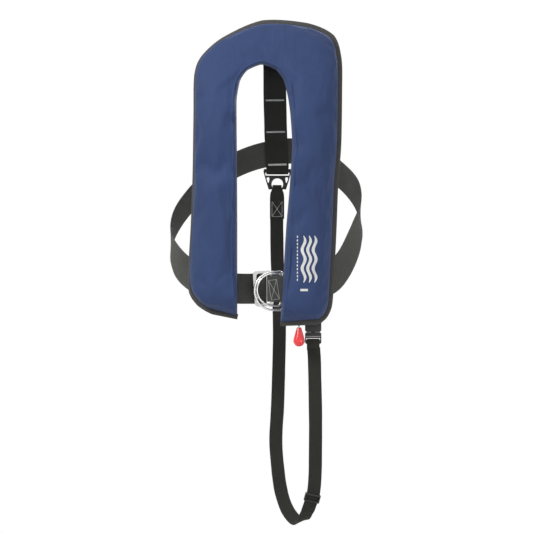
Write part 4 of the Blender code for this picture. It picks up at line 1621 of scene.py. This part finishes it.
@dataclass
class ClothPress:
    """A short cloth simulation that presses a panel outwards, with its movement capped."""

    pressure: float = 4.0
    frames: int = 20
    cap: float = 0.005
    growth: float = 0.015

    def run(self, cloth: Object, held: list[int]) -> None:
        """Simulate the panel and keep the result in its mesh.

        Args:
            cloth: The panel.
            held: Vertices that stay where they are.
        """
        group = cloth.vertex_groups.new(name="held")
        group.add(held, 1.0, "REPLACE")
        change = cloth.modifiers.new("press", "CLOTH")
        settings = change.settings
        for name, value in (("quality", 5), ("mass", 0.3), ("tension_stiffness", 20.0),
                            ("compression_stiffness", 20.0), ("shear_stiffness", 12.0),
                            ("bending_stiffness", 2.0), ("air_damping", 4.0), ("vertex_group_mass", "held"),
                            ("use_pressure", True), ("uniform_pressure_force", self.pressure),
                            ("shrink_min", -self.growth)):
            setattr(settings, name, value)
        settings.effector_weights.gravity = 0.0
        change.point_cache.frame_start, change.point_cache.frame_end = 1, self.frames
        rest = np.array([v.co for v in cloth.data.vertices], float)
        scene = bpy.context.scene
        for number in range(1, self.frames + 1):
            scene.frame_set(number)
        pressed = cloth.evaluated_get(bpy.context.evaluated_depsgraph_get())
        moved = np.array([v.co for v in pressed.data.vertices], float) - rest
        length = np.linalg.norm(moved, axis=1)
        LOG.info("cloth moved by up to %.4f m", float(length.max()))
        factor = np.minimum(1.0, self.cap / np.maximum(length, 1e-9))
        cloth.modifiers.clear()
        cloth.vertex_groups.clear()
        scene.frame_set(1)
        cloth.data.vertices.foreach_set("co", (rest + moved * factor[:, None]).ravel())
        cloth.data.update()


@dataclass
class ChestPrint:
    """Plain white print on the wide lobe: three long waves, a dotted line and a dash."""

    cover: Cover
    lift: float = 0.22
    waves: tuple = ((59.5, 5.0), (68.5, 5.0), (77.5, 5.0))
    top: float = -284.0
    bottom: float = -361.0

    def build(self) -> None:
        """Lay each mark on the pressed cloth and join them."""
        work = bmesh.new()
        work.from_mesh(self.cover.skin.data)
        tree = BVHTree.FromBMesh(work)
        points, faces = [], []
        for x, width in self.waves:
            self.mark(tree, points, faces, x, width, self.top, self.bottom, 2.4)
        for k in range(13):
            top = self.top - k * 5.9
            self.mark(tree, points, faces, 49.3, 1.7, top, top - 3.4, 0.0)
        self.mark(tree, points, faces, 60.2, 12.4, -371.4, -375.2, 0.0)
        work.free()
        wear(add_mesh("chest_print", points, faces, PRINT_WHITE), JACKET, "cover_fabric")

    def mark(self, tree: object, points: list[Vector], faces: list, x: float, width: float, top: float,
             bottom: float, wave: float) -> None:
        """Add one mark.

        Args:
            tree: The cloth, to be met from the front.
            points: Vertices so far.
            faces: Faces so far.
            x: The mark's middle.
            width: Its width.
            top: Highest z.
            bottom: Lowest z.
            wave: How far it sways.
        """
        rows = max(2, round((top - bottom) / 1.2))
        columns = max(2, round(width / 1.2))
        base, layer = len(points), (rows + 1) * (columns + 1)
        for depth in (self.lift, -0.5):
            for i in range(rows + 1):
                z = top + (bottom - top) * i / rows
                taper = min(1.0, math.sqrt(max(0.06, min(i, rows - i) / rows * 7)))
                middle = x + wave * math.sin(math.tau * 2.5 * i / rows)
                for k in range(columns + 1):
                    here = middle + (k / columns - 0.5) * width * (taper if wave else 1.0)
                    hit, normal, _, _ = tree.ray_cast(Vector((here * MM, -0.2, z * MM)), BACK)
                    out = normal if normal.y < 0 else -normal
                    points.append(hit / MM + out * depth)

        def at(layer_number: int, i: int, k: int) -> int:
            """A vertex's number from its layer, row and column."""
            return base + layer_number * layer + i * (columns + 1) + k

        for i in range(rows):
            for k in range(columns):
                faces.append((at(0, i, k), at(0, i + 1, k), at(0, i + 1, k + 1), at(0, i, k + 1)))
                faces.append((at(1, i, k), at(1, i, k + 1), at(1, i + 1, k + 1), at(1, i + 1, k)))
            for k, flip in ((0, False), (columns, True)):
                side = (at(0, i, k), at(1, i, k), at(1, i + 1, k), at(0, i + 1, k))
                faces.append(side[::-1] if flip else side)
        for k in range(columns):
            for i, flip in ((0, True), (rows, False)):
                side = (at(0, i, k), at(1, i, k), at(1, i, k + 1), at(0, i, k + 1))
                faces.append(side[::-1] if flip else side)


@dataclass
class Bladder:
    """The bladder, packed in three flat folds."""

    cover: Cover
    folds: int = 3
    bulge: float = 0.035

    def build(self) -> None:
        """Loft the stack of folds along the cover."""
        inner, outer = self.cover.panel_lines()
        count = len(inner)
        first, last = round(count * 7 / 43), round(count * 31 / 43)
        rings = []
        for i in range(first, last + 1):
            t = i / (count - 1)
            depth = self.cover.depth_at(t) - 11.0
            widen = min(max((t * 42 - 11) / 4, 0), 1)
            low, high = 0.2, 0.42 + 0.22 * widen
            section = []
            steps = self.folds * 8
            bulge = self.bulge * (1 + 0.4 * math.sin(i * 0.7))
            for k in range(steps + 1):
                section.append((high - bulge * abs(math.sin(math.pi * k / 8)), 3 + (depth - 4) * k / steps))
            for k in range(steps + 1):
                height = 3 + (depth - 4) * (1 - k / steps)
                section.append((low + self.bulge * abs(math.cos(math.pi * k / 8)), height))
            rings.append([self.cover.place(inner[i], outer[i], share, forward) for share, forward in section])
        made = lofted("bladder_folds", rings, BLADDER_YELLOW, angle=55)
        wear(made, JACKET, "bladder_fabric", "folded_bladder")


# -------- waist belt


@dataclass
class WaistBelt:
    """The wide belt: from the left lobe's back round the wearer to the buckle, where it turns and is sewn."""

    width: float = 50.0
    thickness: float = 1.35
    height: float = -371.0
    depth: float = 16.8
    turn_radius: float = 4.15
    taper: float = 0.13
    box: tuple = (6.8, 16.2)
    steps: int = 12
    route: tuple = (
        (-1.3, 16.8, -371, 0), (-50, 17, -371, 0), (-90, 24.5, -366, 2), (-127, 40, -348, 8),
        (-150, 58, -323, 14), (-160, 84, -294, 20), (-152, 112, -259, 26), (-126, 136, -222, 32),
        (-88, 149, -188, 34),
        (-48, 157, -163, 33), (-4, 160, -148, 33), (42, 160, -142, 33), (84, 153, -156, 30),
        (121, 138, -182, 26),
        (146, 116, -211, 18), (154, 92, -245, 10), (147, 70, -282, 4), (131, 50, -322, 6), (109, 33, -351, 4),
        (86, 23.5, -363, 2), (60, 19, -369, 0), (34, 17, -371, 0), (4, 16.8, -371, 0))

    def stations(self) -> list[Station]:
        """Where the belt runs, its turn round the buckle's bars included.

        Returns:
            The stations.
        """
        samples = spline(self.route, self.steps)
        path = [Vector(s[:3]) for s in samples]
        widths = [Vector((0, -math.sin(math.radians(s[3])), math.cos(math.radians(s[3])))) for s in samples]
        radius = self.turn_radius
        for k in range(1, 12):
            turn = math.pi * k / 12
            path.append(Vector((4 - radius * math.sin(turn), self.depth - radius + radius * math.cos(turn),
                                self.height)))
        path += [Vector((4 + 29 * k / 12, self.depth - 2 * radius, self.height)) for k in range(13)]
        widths += [UP] * (len(path) - len(widths))
        return along_path(path, widths)

    def build(self) -> None:
        """Build the belt and its sewing."""
        stations = self.stations()
        turn = len(stations) - 24
        shares = [1 - self.taper * min(max((i - turn + 26) / 24, 0.0), 1.0) for i in range(len(stations))]
        belt = Webbing("waist_belt", self.width, self.thickness, WEBBING_BELT, slack=0.12)
        wear(belt.build(stations, shares, 2.0), JACKET, "belt_webbing", "belt_left_front", "belt_left_side",
             "belt_back", "belt_right_side", "belt_right_front")
        thread = Thread(radius=0.45, length=2.6, pitch=3.0, finish=THREAD_LIGHT)
        front = self.depth - 8.3 - self.thickness / 2 - 0.15
        lean = Vector((-0.15, 0, 0.99)).normalized()
        side = Vector((lean.z, 0, -lean.x))
        middle = Vector((10.6, front, self.height - 2))
        corners = [middle + side * a * self.box[0] + lean * b * self.box[1] for a, b in BOX_CORNERS]
        thread.sew_on("belt_box_stitches", thread.box_cross(corners, FRONT))


@dataclass
class Keeper:
    """A webbing tunnel on the back of a lobe, which holds the belt."""

    name: str
    x: float
    front: float
    back: float

    def build(self) -> None:
        """Build the tunnel and its two bar tacks."""
        x, front, back = self.x, self.front, self.back
        route = [(x, front, -322), (x, front + 0.6, -329), (x, back - 1.5, -334), (x, back, -346),
                 (x, back, -370), (x, back, -394), (x, back - 2, -402), (x, front + 0.6, -405),
                 (x, front - 1, -411)]
        web = Webbing(self.name + "_web", 18, 1.3, WEBBING_BLACK)
        wear(web.build_level(spline(route, 6)), JACKET, "black_webbing", self.name)
        thread = Thread(radius=0.36, finish=THREAD_DARK)
        stitches = []
        for z, depth in ((-326, front + 1.0), (-408, front + 0.6)):
            stitches += thread.bar(Vector((x, depth + 0.6, z)), RIGHT, UP, 15, 3, BACK)
        thread.sew_on(self.name + "_tacks", stitches)


# -------- yoke and crotch strap


@dataclass
class Yoke:
    """The back strap: from the collar down behind the wearer's neck to the moulded slider."""

    width: float = 38.0
    thickness: float = 1.6
    route: tuple = ((12, 66, 50), (12, 44.5, 5), (12, 47, -22), (12.3, 76, -58), (13.2, 110, -92),
                    (14.2, 139.6, -122), (15.5, 155.2, -146), (16.5, 168.6, -164), (16.5, 171.6, -170))
    fold_back: tuple = ((16.5, 181.2, -170), (16.5, 181, -166.5), (16.2, 179, -160), (15.5, 168.8, -146),
                        (14.2, 150.2, -121), (13.5, 133, -105))
    bars: tuple = (-57, -110, -164)
    bar_size: tuple = (30, 4.6)

    def build(self) -> None:
        """Build the strap, its turned end, its patch and its sewn bars."""
        path = spline(self.route, 14)
        stations = along_path(path, [RIGHT] * len(path))
        web = Webbing("yoke_web", self.width, self.thickness, WEBBING_BLACK, slack=0.35)
        wear(web.build(stations, seed=3.0), JACKET, "black_webbing", "yoke_strap")
        back = spline(self.fold_back, 12)
        web = Webbing("yoke_turned_end", self.width, self.thickness, WEBBING_BLACK, slack=0.2)
        wear(web.build_level(back, seed=5.0), JACKET, "black_webbing", "yoke_return")
        self.build_patch(stations)
        self.build_turn()
        thread = Thread(radius=0.42, finish=THREAD_LIGHT)
        stitches = []
        for height in self.bars:
            near = min(stations[1:-1], key=lambda s: abs(s.point.z - height))
            out = near.normal if near.normal.y < 0 else -near.normal
            way = near.across.cross(out)
            middle = near.point + out * (self.thickness / 2 + 0.2)
            stitches += thread.bar(middle, near.across, way, *self.bar_size, out)
        thread.sew_on("yoke_bar_stitches", stitches,
                      "reflective_bar_1", "reflective_bar_2", "reflective_bar_3")

    def build_patch(self, stations: list[Station]) -> None:
        """The patch behind the collar, sewn round its edge.

        Args:
            stations: The strap's stations.
        """
        sewn = [s for s in stations if s.point.z > 12]
        lifted = [s.point + BACK * 2.3 for s in sewn]
        placed = along_path(lifted, [RIGHT] * len(lifted))
        patch = Webbing("yoke_patch", 46, 1.2, TAPE_CHARCOAL, slack=0.15)
        wear(patch.build(placed, seed=6.0), JACKET, "black_webbing", "yoke_anchor_patch")
        thread = Thread(finish=THREAD_GREY)
        out = [s.normal if s.normal.y > 0 else -s.normal for s in placed]
        stitches = []
        for side in (-20.5, 20.5):
            line = [s.point + RIGHT * side + n * 0.75 for s, n in zip(placed, out)][2:-2]
            stitches += thread.along(line, out[2:-2])
        for i in (2, -3):
            ends = [placed[i].point + RIGHT * side + out[i] * 0.75 for side in (-20.5, 20.5)]
            stitches += thread.along(ends, [out[i]] * 2)
        thread.sew_on("yoke_patch_stitches", stitches)

    def build_turn(self) -> None:
        """The strap's turn round the slider's top bar."""
        x, y = 16.5, 176.3
        turns = [math.pi * k / 16 for k in range(17)]
        path = [Vector((x, y - 4.6 * math.cos(turn), -174.6 - 5.4 * math.sin(turn))) for turn in turns]
        path = [Vector((x, y - 4.8, -168.4)), *path, Vector((x, y + 4.8, -168.4))]
        web = Webbing("yoke_turn", self.width - 1, 1.5, WEBBING_BLACK, slack=0.05)
        wear(web.build_level(path), JACKET, "black_webbing", "yoke_fold")


@dataclass
class CrotchStrap:
    """The crotch strap: a sewn loop on the slider, then one long webbing down and up to the side buckle."""

    width: float = 22.0
    thickness: float = 1.6
    steps: int = 10
    route: tuple = (
        (15.8, 176.3, -246, 0), (15.5, 176.6, -258, 0), (16.5, 177.5, -330, 2), (20, 173, -440, 2),
        (17, 164, -560, 0), (14, 154, -622, 2), (16.5, 142, -664, 6), (22, 124, -706, 14),
        (32, 101, -737, 24), (46, 80, -755, 26), (57, 60, -756, 24),
        (64.5, 48, -743, 20), (69.5, 42.5, -731, 16), (76, 35.5, -709, 12), (78.6, 30, -680, 3),
        (79.2, 26, -640, 0), (79.3, 22, -570, 0), (77.6, 18.8, -495, 0), (76.6, 18, -475.5, 0),
        (76.2, 18, -468.5, 0))

    def build(self) -> None:
        """Build the long strap, the loop above it and the sewn end below the plug."""
        samples = spline(self.route, self.steps)
        widths = [Vector((math.cos(math.radians(s[3])), 0, math.sin(math.radians(s[3])))) for s in samples]
        stations = along_path([Vector(s[:3]) for s in samples], widths)
        web = Webbing("crotch_web", self.width, self.thickness, WEBBING_BLACK, waver=0.5, slack=0.45)
        wear(web.build(stations, seed=8.0), JACKET, "black_webbing",
             "crotch_strap_rear", "crotch_strap_under", "crotch_strap_front")
        self.build_loop()
        self.build_end()

    def build_loop(self) -> None:
        """The doubled loop through the slider's eye, with its sewn box."""
        x, y = 16.0, 176.3
        side = ((1.2, -255), (1.2, -246), (1.2, -237), (1.5, -228), (3.2, -220), (4.6, -212))
        path = [Vector((x, y - out, z)) for out, z in side]
        turns = [math.pi * k / 16 for k in range(17)]
        path += [Vector((x, y - 4.6 * math.cos(turn), -203.6 + 4.4 * math.sin(turn))) for turn in turns]
        path += [Vector((x, y + out, z)) for out, z in reversed(side)]
        shares = [1.0] * 5 + [0.94] + [0.64] * 17 + [0.94] + [1.0] * 5
        web = Webbing("crotch_loop", 24, 1.6, WEBBING_BLACK, slack=0.05, waver=0.1)
        wear(web.build_level(path, shares), JACKET, "black_webbing", "crotch_upper_loop")
        thread = Thread(radius=0.42, length=2.6, pitch=3.0, finish=THREAD_LIGHT)
        front = y - 1.2 - 0.8 - 0.1
        corners = [Vector((x + a * 8.4, front, -238.5 + b * 12.5)) for a, b in BOX_CORNERS]
        thread.sew_on("crotch_box_stitches", thread.box_cross(corners, FRONT))

    def build_end(self) -> None:
        """The strap's end round the plug's bar, sewn below it."""
        x, y = 75.5, 18.0
        half = [(1.0, -472.5), (1.2, -469), (5.7, -464), (6.0, -457), (4.6, -454.8)]
        route = [(x, y - d, h) for d, h in half] + [(x, y, -454.5)]
        route += [(x, y + d, h) for d, h in reversed(half)]
        web = Webbing("plug_loop", 21, 1.2, WEBBING_BLACK, slack=0.05, waver=0.1)
        wear(web.build_level(spline(route, 5)), JACKET, "black_webbing", "plug_strap_fold")


# -------- metal buckle


@dataclass
class SteelBuckle:
    """The flat frame in the belt's loop, and two D-rings that swing on it."""

    height: float = -371.0
    wire: float = 1.75
    lean: float = 4.0
    middle: float = -7.0

    def leaning(self, outline: list[Pair]) -> list[Pair]:
        """Turn an outline in its own plane, its top to the left.

        Args:
            outline: Points as (x, z).

        Returns:
            The turned outline.
        """
        c, s = math.cos(math.radians(self.lean)), math.sin(math.radians(self.lean))
        return [(self.middle + (x - self.middle) * c - (z - self.height) * s,
                 self.height + (x - self.middle) * s + (z - self.height) * c) for x, z in outline]

    def build(self) -> None:
        """Build the frame and both rings."""
        outlines = [self.leaning(rounded_box(-23, 9, -400.5, -341.5, 7)),
                    self.leaning(rounded_box(-16.5, 4, -395.8, -346.2, 4))]
        plate = outline_solid("buckle_plate", outlines, 12.0, 14.2, 0.7, STEEL_POLISHED)
        wear(plate, "buckle_frame", "stainless_steel", "buckle_frame")
        for name, node, *sizes in (("ring_inner", "d_ring_inner", 39.5, 26.4, (21.3, 12.6), 2.1),
                                   ("ring_outer", "d_ring_outer", 48.3, 31.5, (25.3, 13.56), 3.9)):
            ring = rod(name, self.ring_path(*sizes), self.wire, STEEL_POLISHED, 20, closed=True)
            wear(ring, "d_rings", "stainless_steel", node)

    def ring_path(self, width: float, half: float, bar: Pair, drop: float) -> list[Vector]:
        """A ring's middle line: a straight bar, round corners, then a bow.

        Args:
            width: From the bar to the bow.
            half: Half its height.
            bar: The bar's x and y.
            drop: How far it hangs below the belt's middle.

        Returns:
            The points of the loop.
        """
        straight, corner = width - half, 5.0
        flat = [(0.0, -half + corner + 2 * (half - corner) * k / 12) for k in range(13)]
        quarter = [math.pi / 2 * k / 6 for k in range(7)]
        flat += [(corner - corner * math.cos(q), half - corner + corner * math.sin(q)) for q in quarter[1:]]
        bow = [math.pi / 2 - math.pi * k / 44 for k in range(45)]
        flat += [(straight + half * math.cos(b), half * math.sin(b)) for b in bow]
        flat += [(corner - corner * math.sin(q), -half + corner - corner * math.cos(q)) for q in quarter[:-1]]
        turn = math.radians(13.5)
        return [Vector((bar[0] - s * math.cos(turn), bar[1] - s * math.sin(turn), self.height - drop + h))
                for s, h in flat]


# -------- moulded fittings


@dataclass
class BackSlider:
    """The slider on the back: a slot for the yoke strap and a round eye for the crotch loop."""

    x: float = 16.5
    y: float = 176.3
    eye_z: float = -197.0

    def build(self) -> None:
        """Build the plate with its holes, and a raised rim round the eye."""
        x, z = self.x, self.eye_z
        outline = [(x - 21.5, -171.5), (x + 21.5, -171.5), (x + 23, -173), (x + 23.2, -176.5), (x + 19, -192),
                   (x + 14.5, -206)]
        bow = [math.radians(-35 - 110 * k / 16) for k in range(1, 16)]
        outline += [(x + 13 * math.cos(turn), z + 13 * math.sin(turn)) for turn in bow]
        outline += [(x - 14.5, -206), (x - 19, -192), (x - 23.2, -176.5), (x - 23, -173)]
        slot = rounded_box(x - 20, x + 20, -182.6, -177.6, 1.5)
        holes = [slot, circle(x, z, 9.6, 48), self.side_window(-1), self.side_window(1)]
        made = outline_solid("slider_plate", [outline, *holes], self.y - 2.6, self.y + 2.6, 0.9,
                             PLASTIC_BLACK)
        wear(made, JACKET, "black_plastic", "back_slider")
        rim = [Vector((a, self.y - 2.4, b)) for a, b in circle(x, z, 10.9, 48)]
        wear(rod("slider_eye_rim", rim, 0.9, PLASTIC_BLACK, 10, closed=True), JACKET, "black_plastic")

    def side_window(self, side: int) -> list[Pair]:
        """A small three-cornered hole beside the eye.

        Args:
            side: -1 for left and 1 for right.

        Returns:
            The hole's outline.
        """
        corners = [(12.2, -185.3), (19.4, -185.3), (14.8, -198.5)]
        middle = (15.2, -188.6)
        made = []
        for i, (a, b) in enumerate(corners):
            for c, d in (corners[i - 1], corners[(i + 1) % 3]):
                made.append((a + (c - a) * 0.22, b + (d - b) * 0.22))
        made = [(middle[0] + (a - middle[0]) * 0.85, middle[1] + (b - middle[1]) * 0.85) for a, b in made]
        return [(self.x + side * a, b) for a, b in made]


@dataclass
class SideBuckle:
    """The side-release buckle below the wide lobe: socket, plug, two sprung prongs, webbing and trim."""

    x: float = 75.5
    y: float = 18.0

    def build(self) -> None:
        """Round the frame's moulded pieces and add their raised trim."""
        for node, name, body in (("buckle_socket", "socket_body", JACKET),
                                 ("prong_left", "plug_prong_left", "prong_left"),
                                 ("prong_right", "plug_prong_right", "prong_right")):
            wear(softened(node, name, PLASTIC_BLACK, 0.7), body, "black_plastic", node)
        x, front = self.x, self.y - 4.6
        outlines = [rounded_box(x - 13.5, x + 13.5, -462.5, -443.2, 3),
                    rounded_box(x - 11.6, x + 11.6, -455.9, -453.1, 1.2)]
        plug = outline_solid("plug_body", outlines, self.y - 4.6, self.y + 4.6, 1.1, PLASTIC_BLACK)
        wear(plug, JACKET, "black_plastic", "buckle_plug")
        tongue = outline_solid("plug_tongue", [rounded_box(x - 2.6, x + 2.6, -446, -423, 1.2)], self.y - 2,
                               self.y + 2, 0.5, PLASTIC_BLACK)
        wear(tongue, JACKET, "black_plastic")
        for number, (z, half) in enumerate(((-421.5, 9.5), (-424.3, 8.3), (-427.1, 7.1)), 1):
            line = [Vector((x - half + 2 * half * k / 16, front + 0.15, z + 1.6 * (2 * k / 16 - 1) ** 2))
                    for k in range(17)]
            wear(rod(f"socket_grip_{number}", line, 0.7, PLASTIC_BLACK, 10), JACKET, "black_plastic")
        # A raised rod across the black plug, coloured light grey as a painted highlight of the glint along
        # the plug's glossy edge.
        ridge = [Vector((x - 12 + 24 * k / 12, front - 0.1, -450.2)) for k in range(13)]
        wear(rod("plug_ridge_painted_highlight", ridge, 1.0, PLASTIC_PAINTED_HIGHLIGHT, 12), JACKET, "black_plastic")
        self.build_web()

    def build_web(self) -> None:
        """The short webbing that hangs the socket from the waist belt."""
        x, y = self.x, self.y
        route = [(16.4, -399), (16.2, -392), (16.2, -368), (16.2, -345), (18.2, -336), (22.5, -333.2),
                 (27.4, -336.5), (28.8, -346), (28.8, -368), (28.6, -392), (26, -402), (y + 6.6, -409),
                 (y + 6.0, -413.4), (y, -414.4), (y - 6.0, -413.4), (y - 6.4, -408), (y - 4.8, -402.6)]
        path = spline([(x, depth, height) for depth, height in route], 5)
        web = Webbing("socket_web", 20.5, 1.2, WEBBING_BLACK, slack=0.05, waver=0.1)
        wear(web.build_level(path), JACKET, "black_webbing", "buckle_web")


@dataclass
class StrapGlide:
    """The three-bar adjuster on the crotch strap."""

    def build(self) -> None:
        """Round the edges of the slotted plate that slides along the crotch strap."""
        glide = softened("tri_glide", "glide_body", PLASTIC_BLACK, 0.6)
        wear(glide, "tri_glide", "black_plastic", "tri_glide")


@dataclass
class PullHandle:
    """The red handle on its short cord, pulled to fire the inflator by hand."""

    x: float = 52.0
    y: float = -0.8
    top: float = -434.3
    height: float = 32.9
    radius: float = 10.0
    cord: float = 1.1

    def build(self) -> None:
        """Build the handle, its collar and its laid cord."""
        profile = [(0.0, 0.0)]
        for k in range(1, 48):
            t = k / 48
            low = max(1 - ((0.36 - t) / 0.36) ** 2, 0.0) ** 0.56 if t < 0.36 else 1.0
            taper = 1 - 0.66 * max(0.0, (t - 0.26) / 0.74) ** 1.12
            tip = math.sqrt(max(1 - ((t - 0.93) / 0.08) ** 2, 0.0)) if t > 0.93 else 1.0
            profile.append((self.radius * low * taper * tip, self.height * t))
        profile.append((0, self.height - 0.2))
        foot = (self.x, self.y, self.top - self.height)
        made = turned("pull_handle", profile, foot, PLASTIC_RED, segments=72)
        wear(made, "pull", "toggle_red", "pull_toggle")
        collar = [Vector((a, b, self.top - 2.4)) for a, b in circle(self.x, self.y, 2.6, 32)]
        wear(rod("pull_handle_collar", collar, 0.7, PLASTIC_RED, 10, closed=True), "pull", "toggle_red")
        rings = []
        for k in range(165):
            z = self.top + 0.3 + 0.5 * k
            ring = []
            for j in range(18):
                turn = math.tau * j / 18
                out = self.cord * (1 + 0.1 * math.cos(3 * (turn - k * 0.42)))
                ring.append(Vector((self.x + out * math.cos(turn), self.y + out * math.sin(turn), z)))
            rings.append(ring)
        wear(lofted("pull_cord", rings, THREAD_DARK, angle=80), "pull", "black_webbing", "pull_lanyard")


# -------- inflator and mouth tube


@dataclass
class Inflator:
    """The fittings inside the cover: gas cylinder, firing head, mouth tube and whistle."""

    x: float = 69.0
    y: float = -14.5
    tube_x: float = -92.0
    tube_y: float = -6.0

    def build(self) -> None:
        """Replace the turned pieces with finely turned ones, and dress the others."""
        x, y = self.x, self.y
        shoulder = spline([(8, -342), (10.4, -339.5), (12.2, -335), (13, -329)], 5)
        dome = spline([(13, -236), (12.6, -231), (10.6, -225), (6.6, -221), (0.01, -219)], 5)
        cylinder = [(0, -351.6), (3.9, -351.6), (4.2, -351.2)]
        for k in range(7):
            cylinder += [(4.2, -350.6 + k), (3.8, -350.1 + k)]
        cylinder += [(4.2, -343.6)] + [(p[0], p[1]) for p in shoulder + dome[:-1]] + [(0, -219)]
        made = turned("gas_cylinder", cylinder, (x, y, 0), STEEL_PLATED)
        wear(made, "cylinder", "zinc_steel", "co2_cylinder")
        cap = [(0, -411), (7.4, -411), (8.4, -410.8), (9.2, -410.2), (9.5, -409.4)]
        for k in range(6):
            cap += [(radius, low + 1.9 * k) for radius, low in
                    ((9.5, -408.6), (8.9, -408.0), (8.9, -407.6), (9.5, -407.1))]
        cap += [(9.5, -396.8), (9.1, -396.4), (0, -396.4)]
        made = turned("firing_head_cap", cap, (x, y, 0), PLASTIC_BLACK)
        wear(made, "firing_cap", "black_plastic", "firing_cap")
        for node, name, finish, body, slot in (
                ("inflator_body", "firing_head", PLASTIC_BLACK, JACKET, "black_plastic"),
                ("manual_lever", "firing_lever", PLASTIC_ORANGE, "lever", "orange_plastic"),
                ("indicator_clip", "ready_clip", PLASTIC_GREEN, JACKET, "green_plastic"),
                ("whistle", "whistle_body", PLASTIC_ORANGE, JACKET, "orange_plastic")):
            wear(softened(node, name, finish, 0.4, 2), body, slot, node)
        tube = [(4.5, -299)]
        for k in range(24):
            z = -298 + 3.9 * k
            tube += [(7.2, z), (7.5, z + 0.8), (7.5, z + 2.6), (7.2, z + 3.4)]
        tube += [(7.2, -204), (4.5, -204)]
        made = turned("mouth_tube", tube, (self.tube_x, self.tube_y, 0), PLASTIC_BLACK, hollow=True)
        wear(made, JACKET, "black_plastic", "oral_tube")
        for finish, *nodes in (
                (PLASTIC_BLACK, "manifold_cap_nut", "bladder_manifold", "oral_valve_housing", "oral_cap"),
                (STEEL_POLISHED, "piercing_pin", "piercing_spring", "lever_pivot_pin"),
                (BLADDER_YELLOW, "oral_tube_flange"), (PLASTIC_ORANGE, "oral_valve_stem"),
                (THREAD_DARK, "whistle_lanyard", "lanyard_band")):
            for holder in [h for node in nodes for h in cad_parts[node].material_slots]:
                holder.material = finish.material()


# -------- studio


@dataclass
class Studio:
    """A pale floor, a white surround, soft lights and the camera."""

    focus: tuple = (-0.00165, 0.0, -0.3346)
    distance: float = 14.0
    lens: float = 573.0

    def build(self) -> None:
        """Set up the floor, the world, the lights and the camera."""
        self.build_floor()
        self.build_world()
        self.light("key", (-2.3, -1.9, 1.9), 1.3, 95.0)
        self.light("fill", (2.2, -2.2, -0.4), 1.8, 26.0)
        self.light("crown", (0.2, -0.6, 1.9), 1.4, 8.0)
        self.light("back", (0.6, 2.4, 0.6), 1.4, 30.0)
        data = bpy.data.cameras.new("camera")
        data.lens, data.sensor_width = self.lens, 36.0
        camera = bpy.data.objects.new("camera", data)
        camera.location = Vector(self.focus) + FRONT * self.distance
        camera.rotation_euler = (math.pi / 2, 0.0, 0.0)
        bpy.context.scene.collection.objects.link(camera)
        bpy.context.scene.camera = camera
        bpy.context.scene.view_settings.view_transform = "Standard"

    def light(self, name: str, place: tuple[float, float, float], size: float, power: float) -> None:
        """Add a soft area light aimed at the jacket.

        Args:
            name: The light's name.
            place: Where it is.
            size: Its side.
            power: Its power in watts.
        """
        data = bpy.data.lights.new(name, "AREA")
        data.energy, data.size = power, size
        made = bpy.data.objects.new(name, data)
        made.location = place
        made.rotation_euler = (Vector(self.focus) - Vector(place)).to_track_quat("-Z", "Y").to_euler()
        bpy.context.scene.collection.objects.link(made)

    def build_floor(self) -> None:
        """A pale floor under the jacket."""
        half, front, back, z = 900, -1200, 850, -806
        points = [Vector((x, y, z + d)) for d in (0, -8) for x, y in
                  ((-half, front), (half, front), (half, back), (-half, back))]
        faces = [(0, 1, 2, 3), (7, 6, 5, 4), (0, 4, 5, 1), (1, 5, 6, 2), (2, 6, 7, 3), (3, 7, 4, 0)]
        add_mesh("floor", points, faces, FLOOR_PALE)

    @staticmethod
    def build_world() -> None:
        """White to the camera, softer as a light."""
        world = bpy.data.worlds.new("studio")
        world.use_nodes = True
        tree = world.node_tree
        tree.nodes.clear()
        sheet = NodeSheet(tree)
        path = sheet.add("LightPath")
        seen = sheet.math("MAXIMUM", path.outputs["Is Camera Ray"],
                          sheet.math("MULTIPLY", path.outputs["Is Glossy Ray"], 0.8))
        strength = sheet.spread(seen, 0.0, 1.0, 0.34, 1.0)
        sky = sheet.feed(sheet.add("Background"), Color=(1.0, 1.0, 1.0, 1.0), Strength=strength)
        result = sheet.add("OutputWorld")
        tree.links.new(sky.outputs[0], result.inputs[0])
        bpy.context.scene.world = world


def main() -> None:
    """Build every sub-assembly in order, then the studio."""
    logging.basicConfig(level=logging.INFO, format="%(name)s: %(message)s")
    cover = Cover()
    cover.build()
    ChestPrint(cover).build()
    Bladder(cover).build()
    WaistBelt().build()
    Keeper("belt_keeper_left", -86, 17.5, 31).build()
    Keeper("belt_keeper_right", 47, 8.5, 22).build()
    Yoke().build()
    CrotchStrap().build()
    SteelBuckle().build()
    BackSlider().build()
    SideBuckle().build()
    StrapGlide().build()
    PullHandle().build()
    Inflator().build()
    Studio().build()


if __name__ == "__main__":
    main()
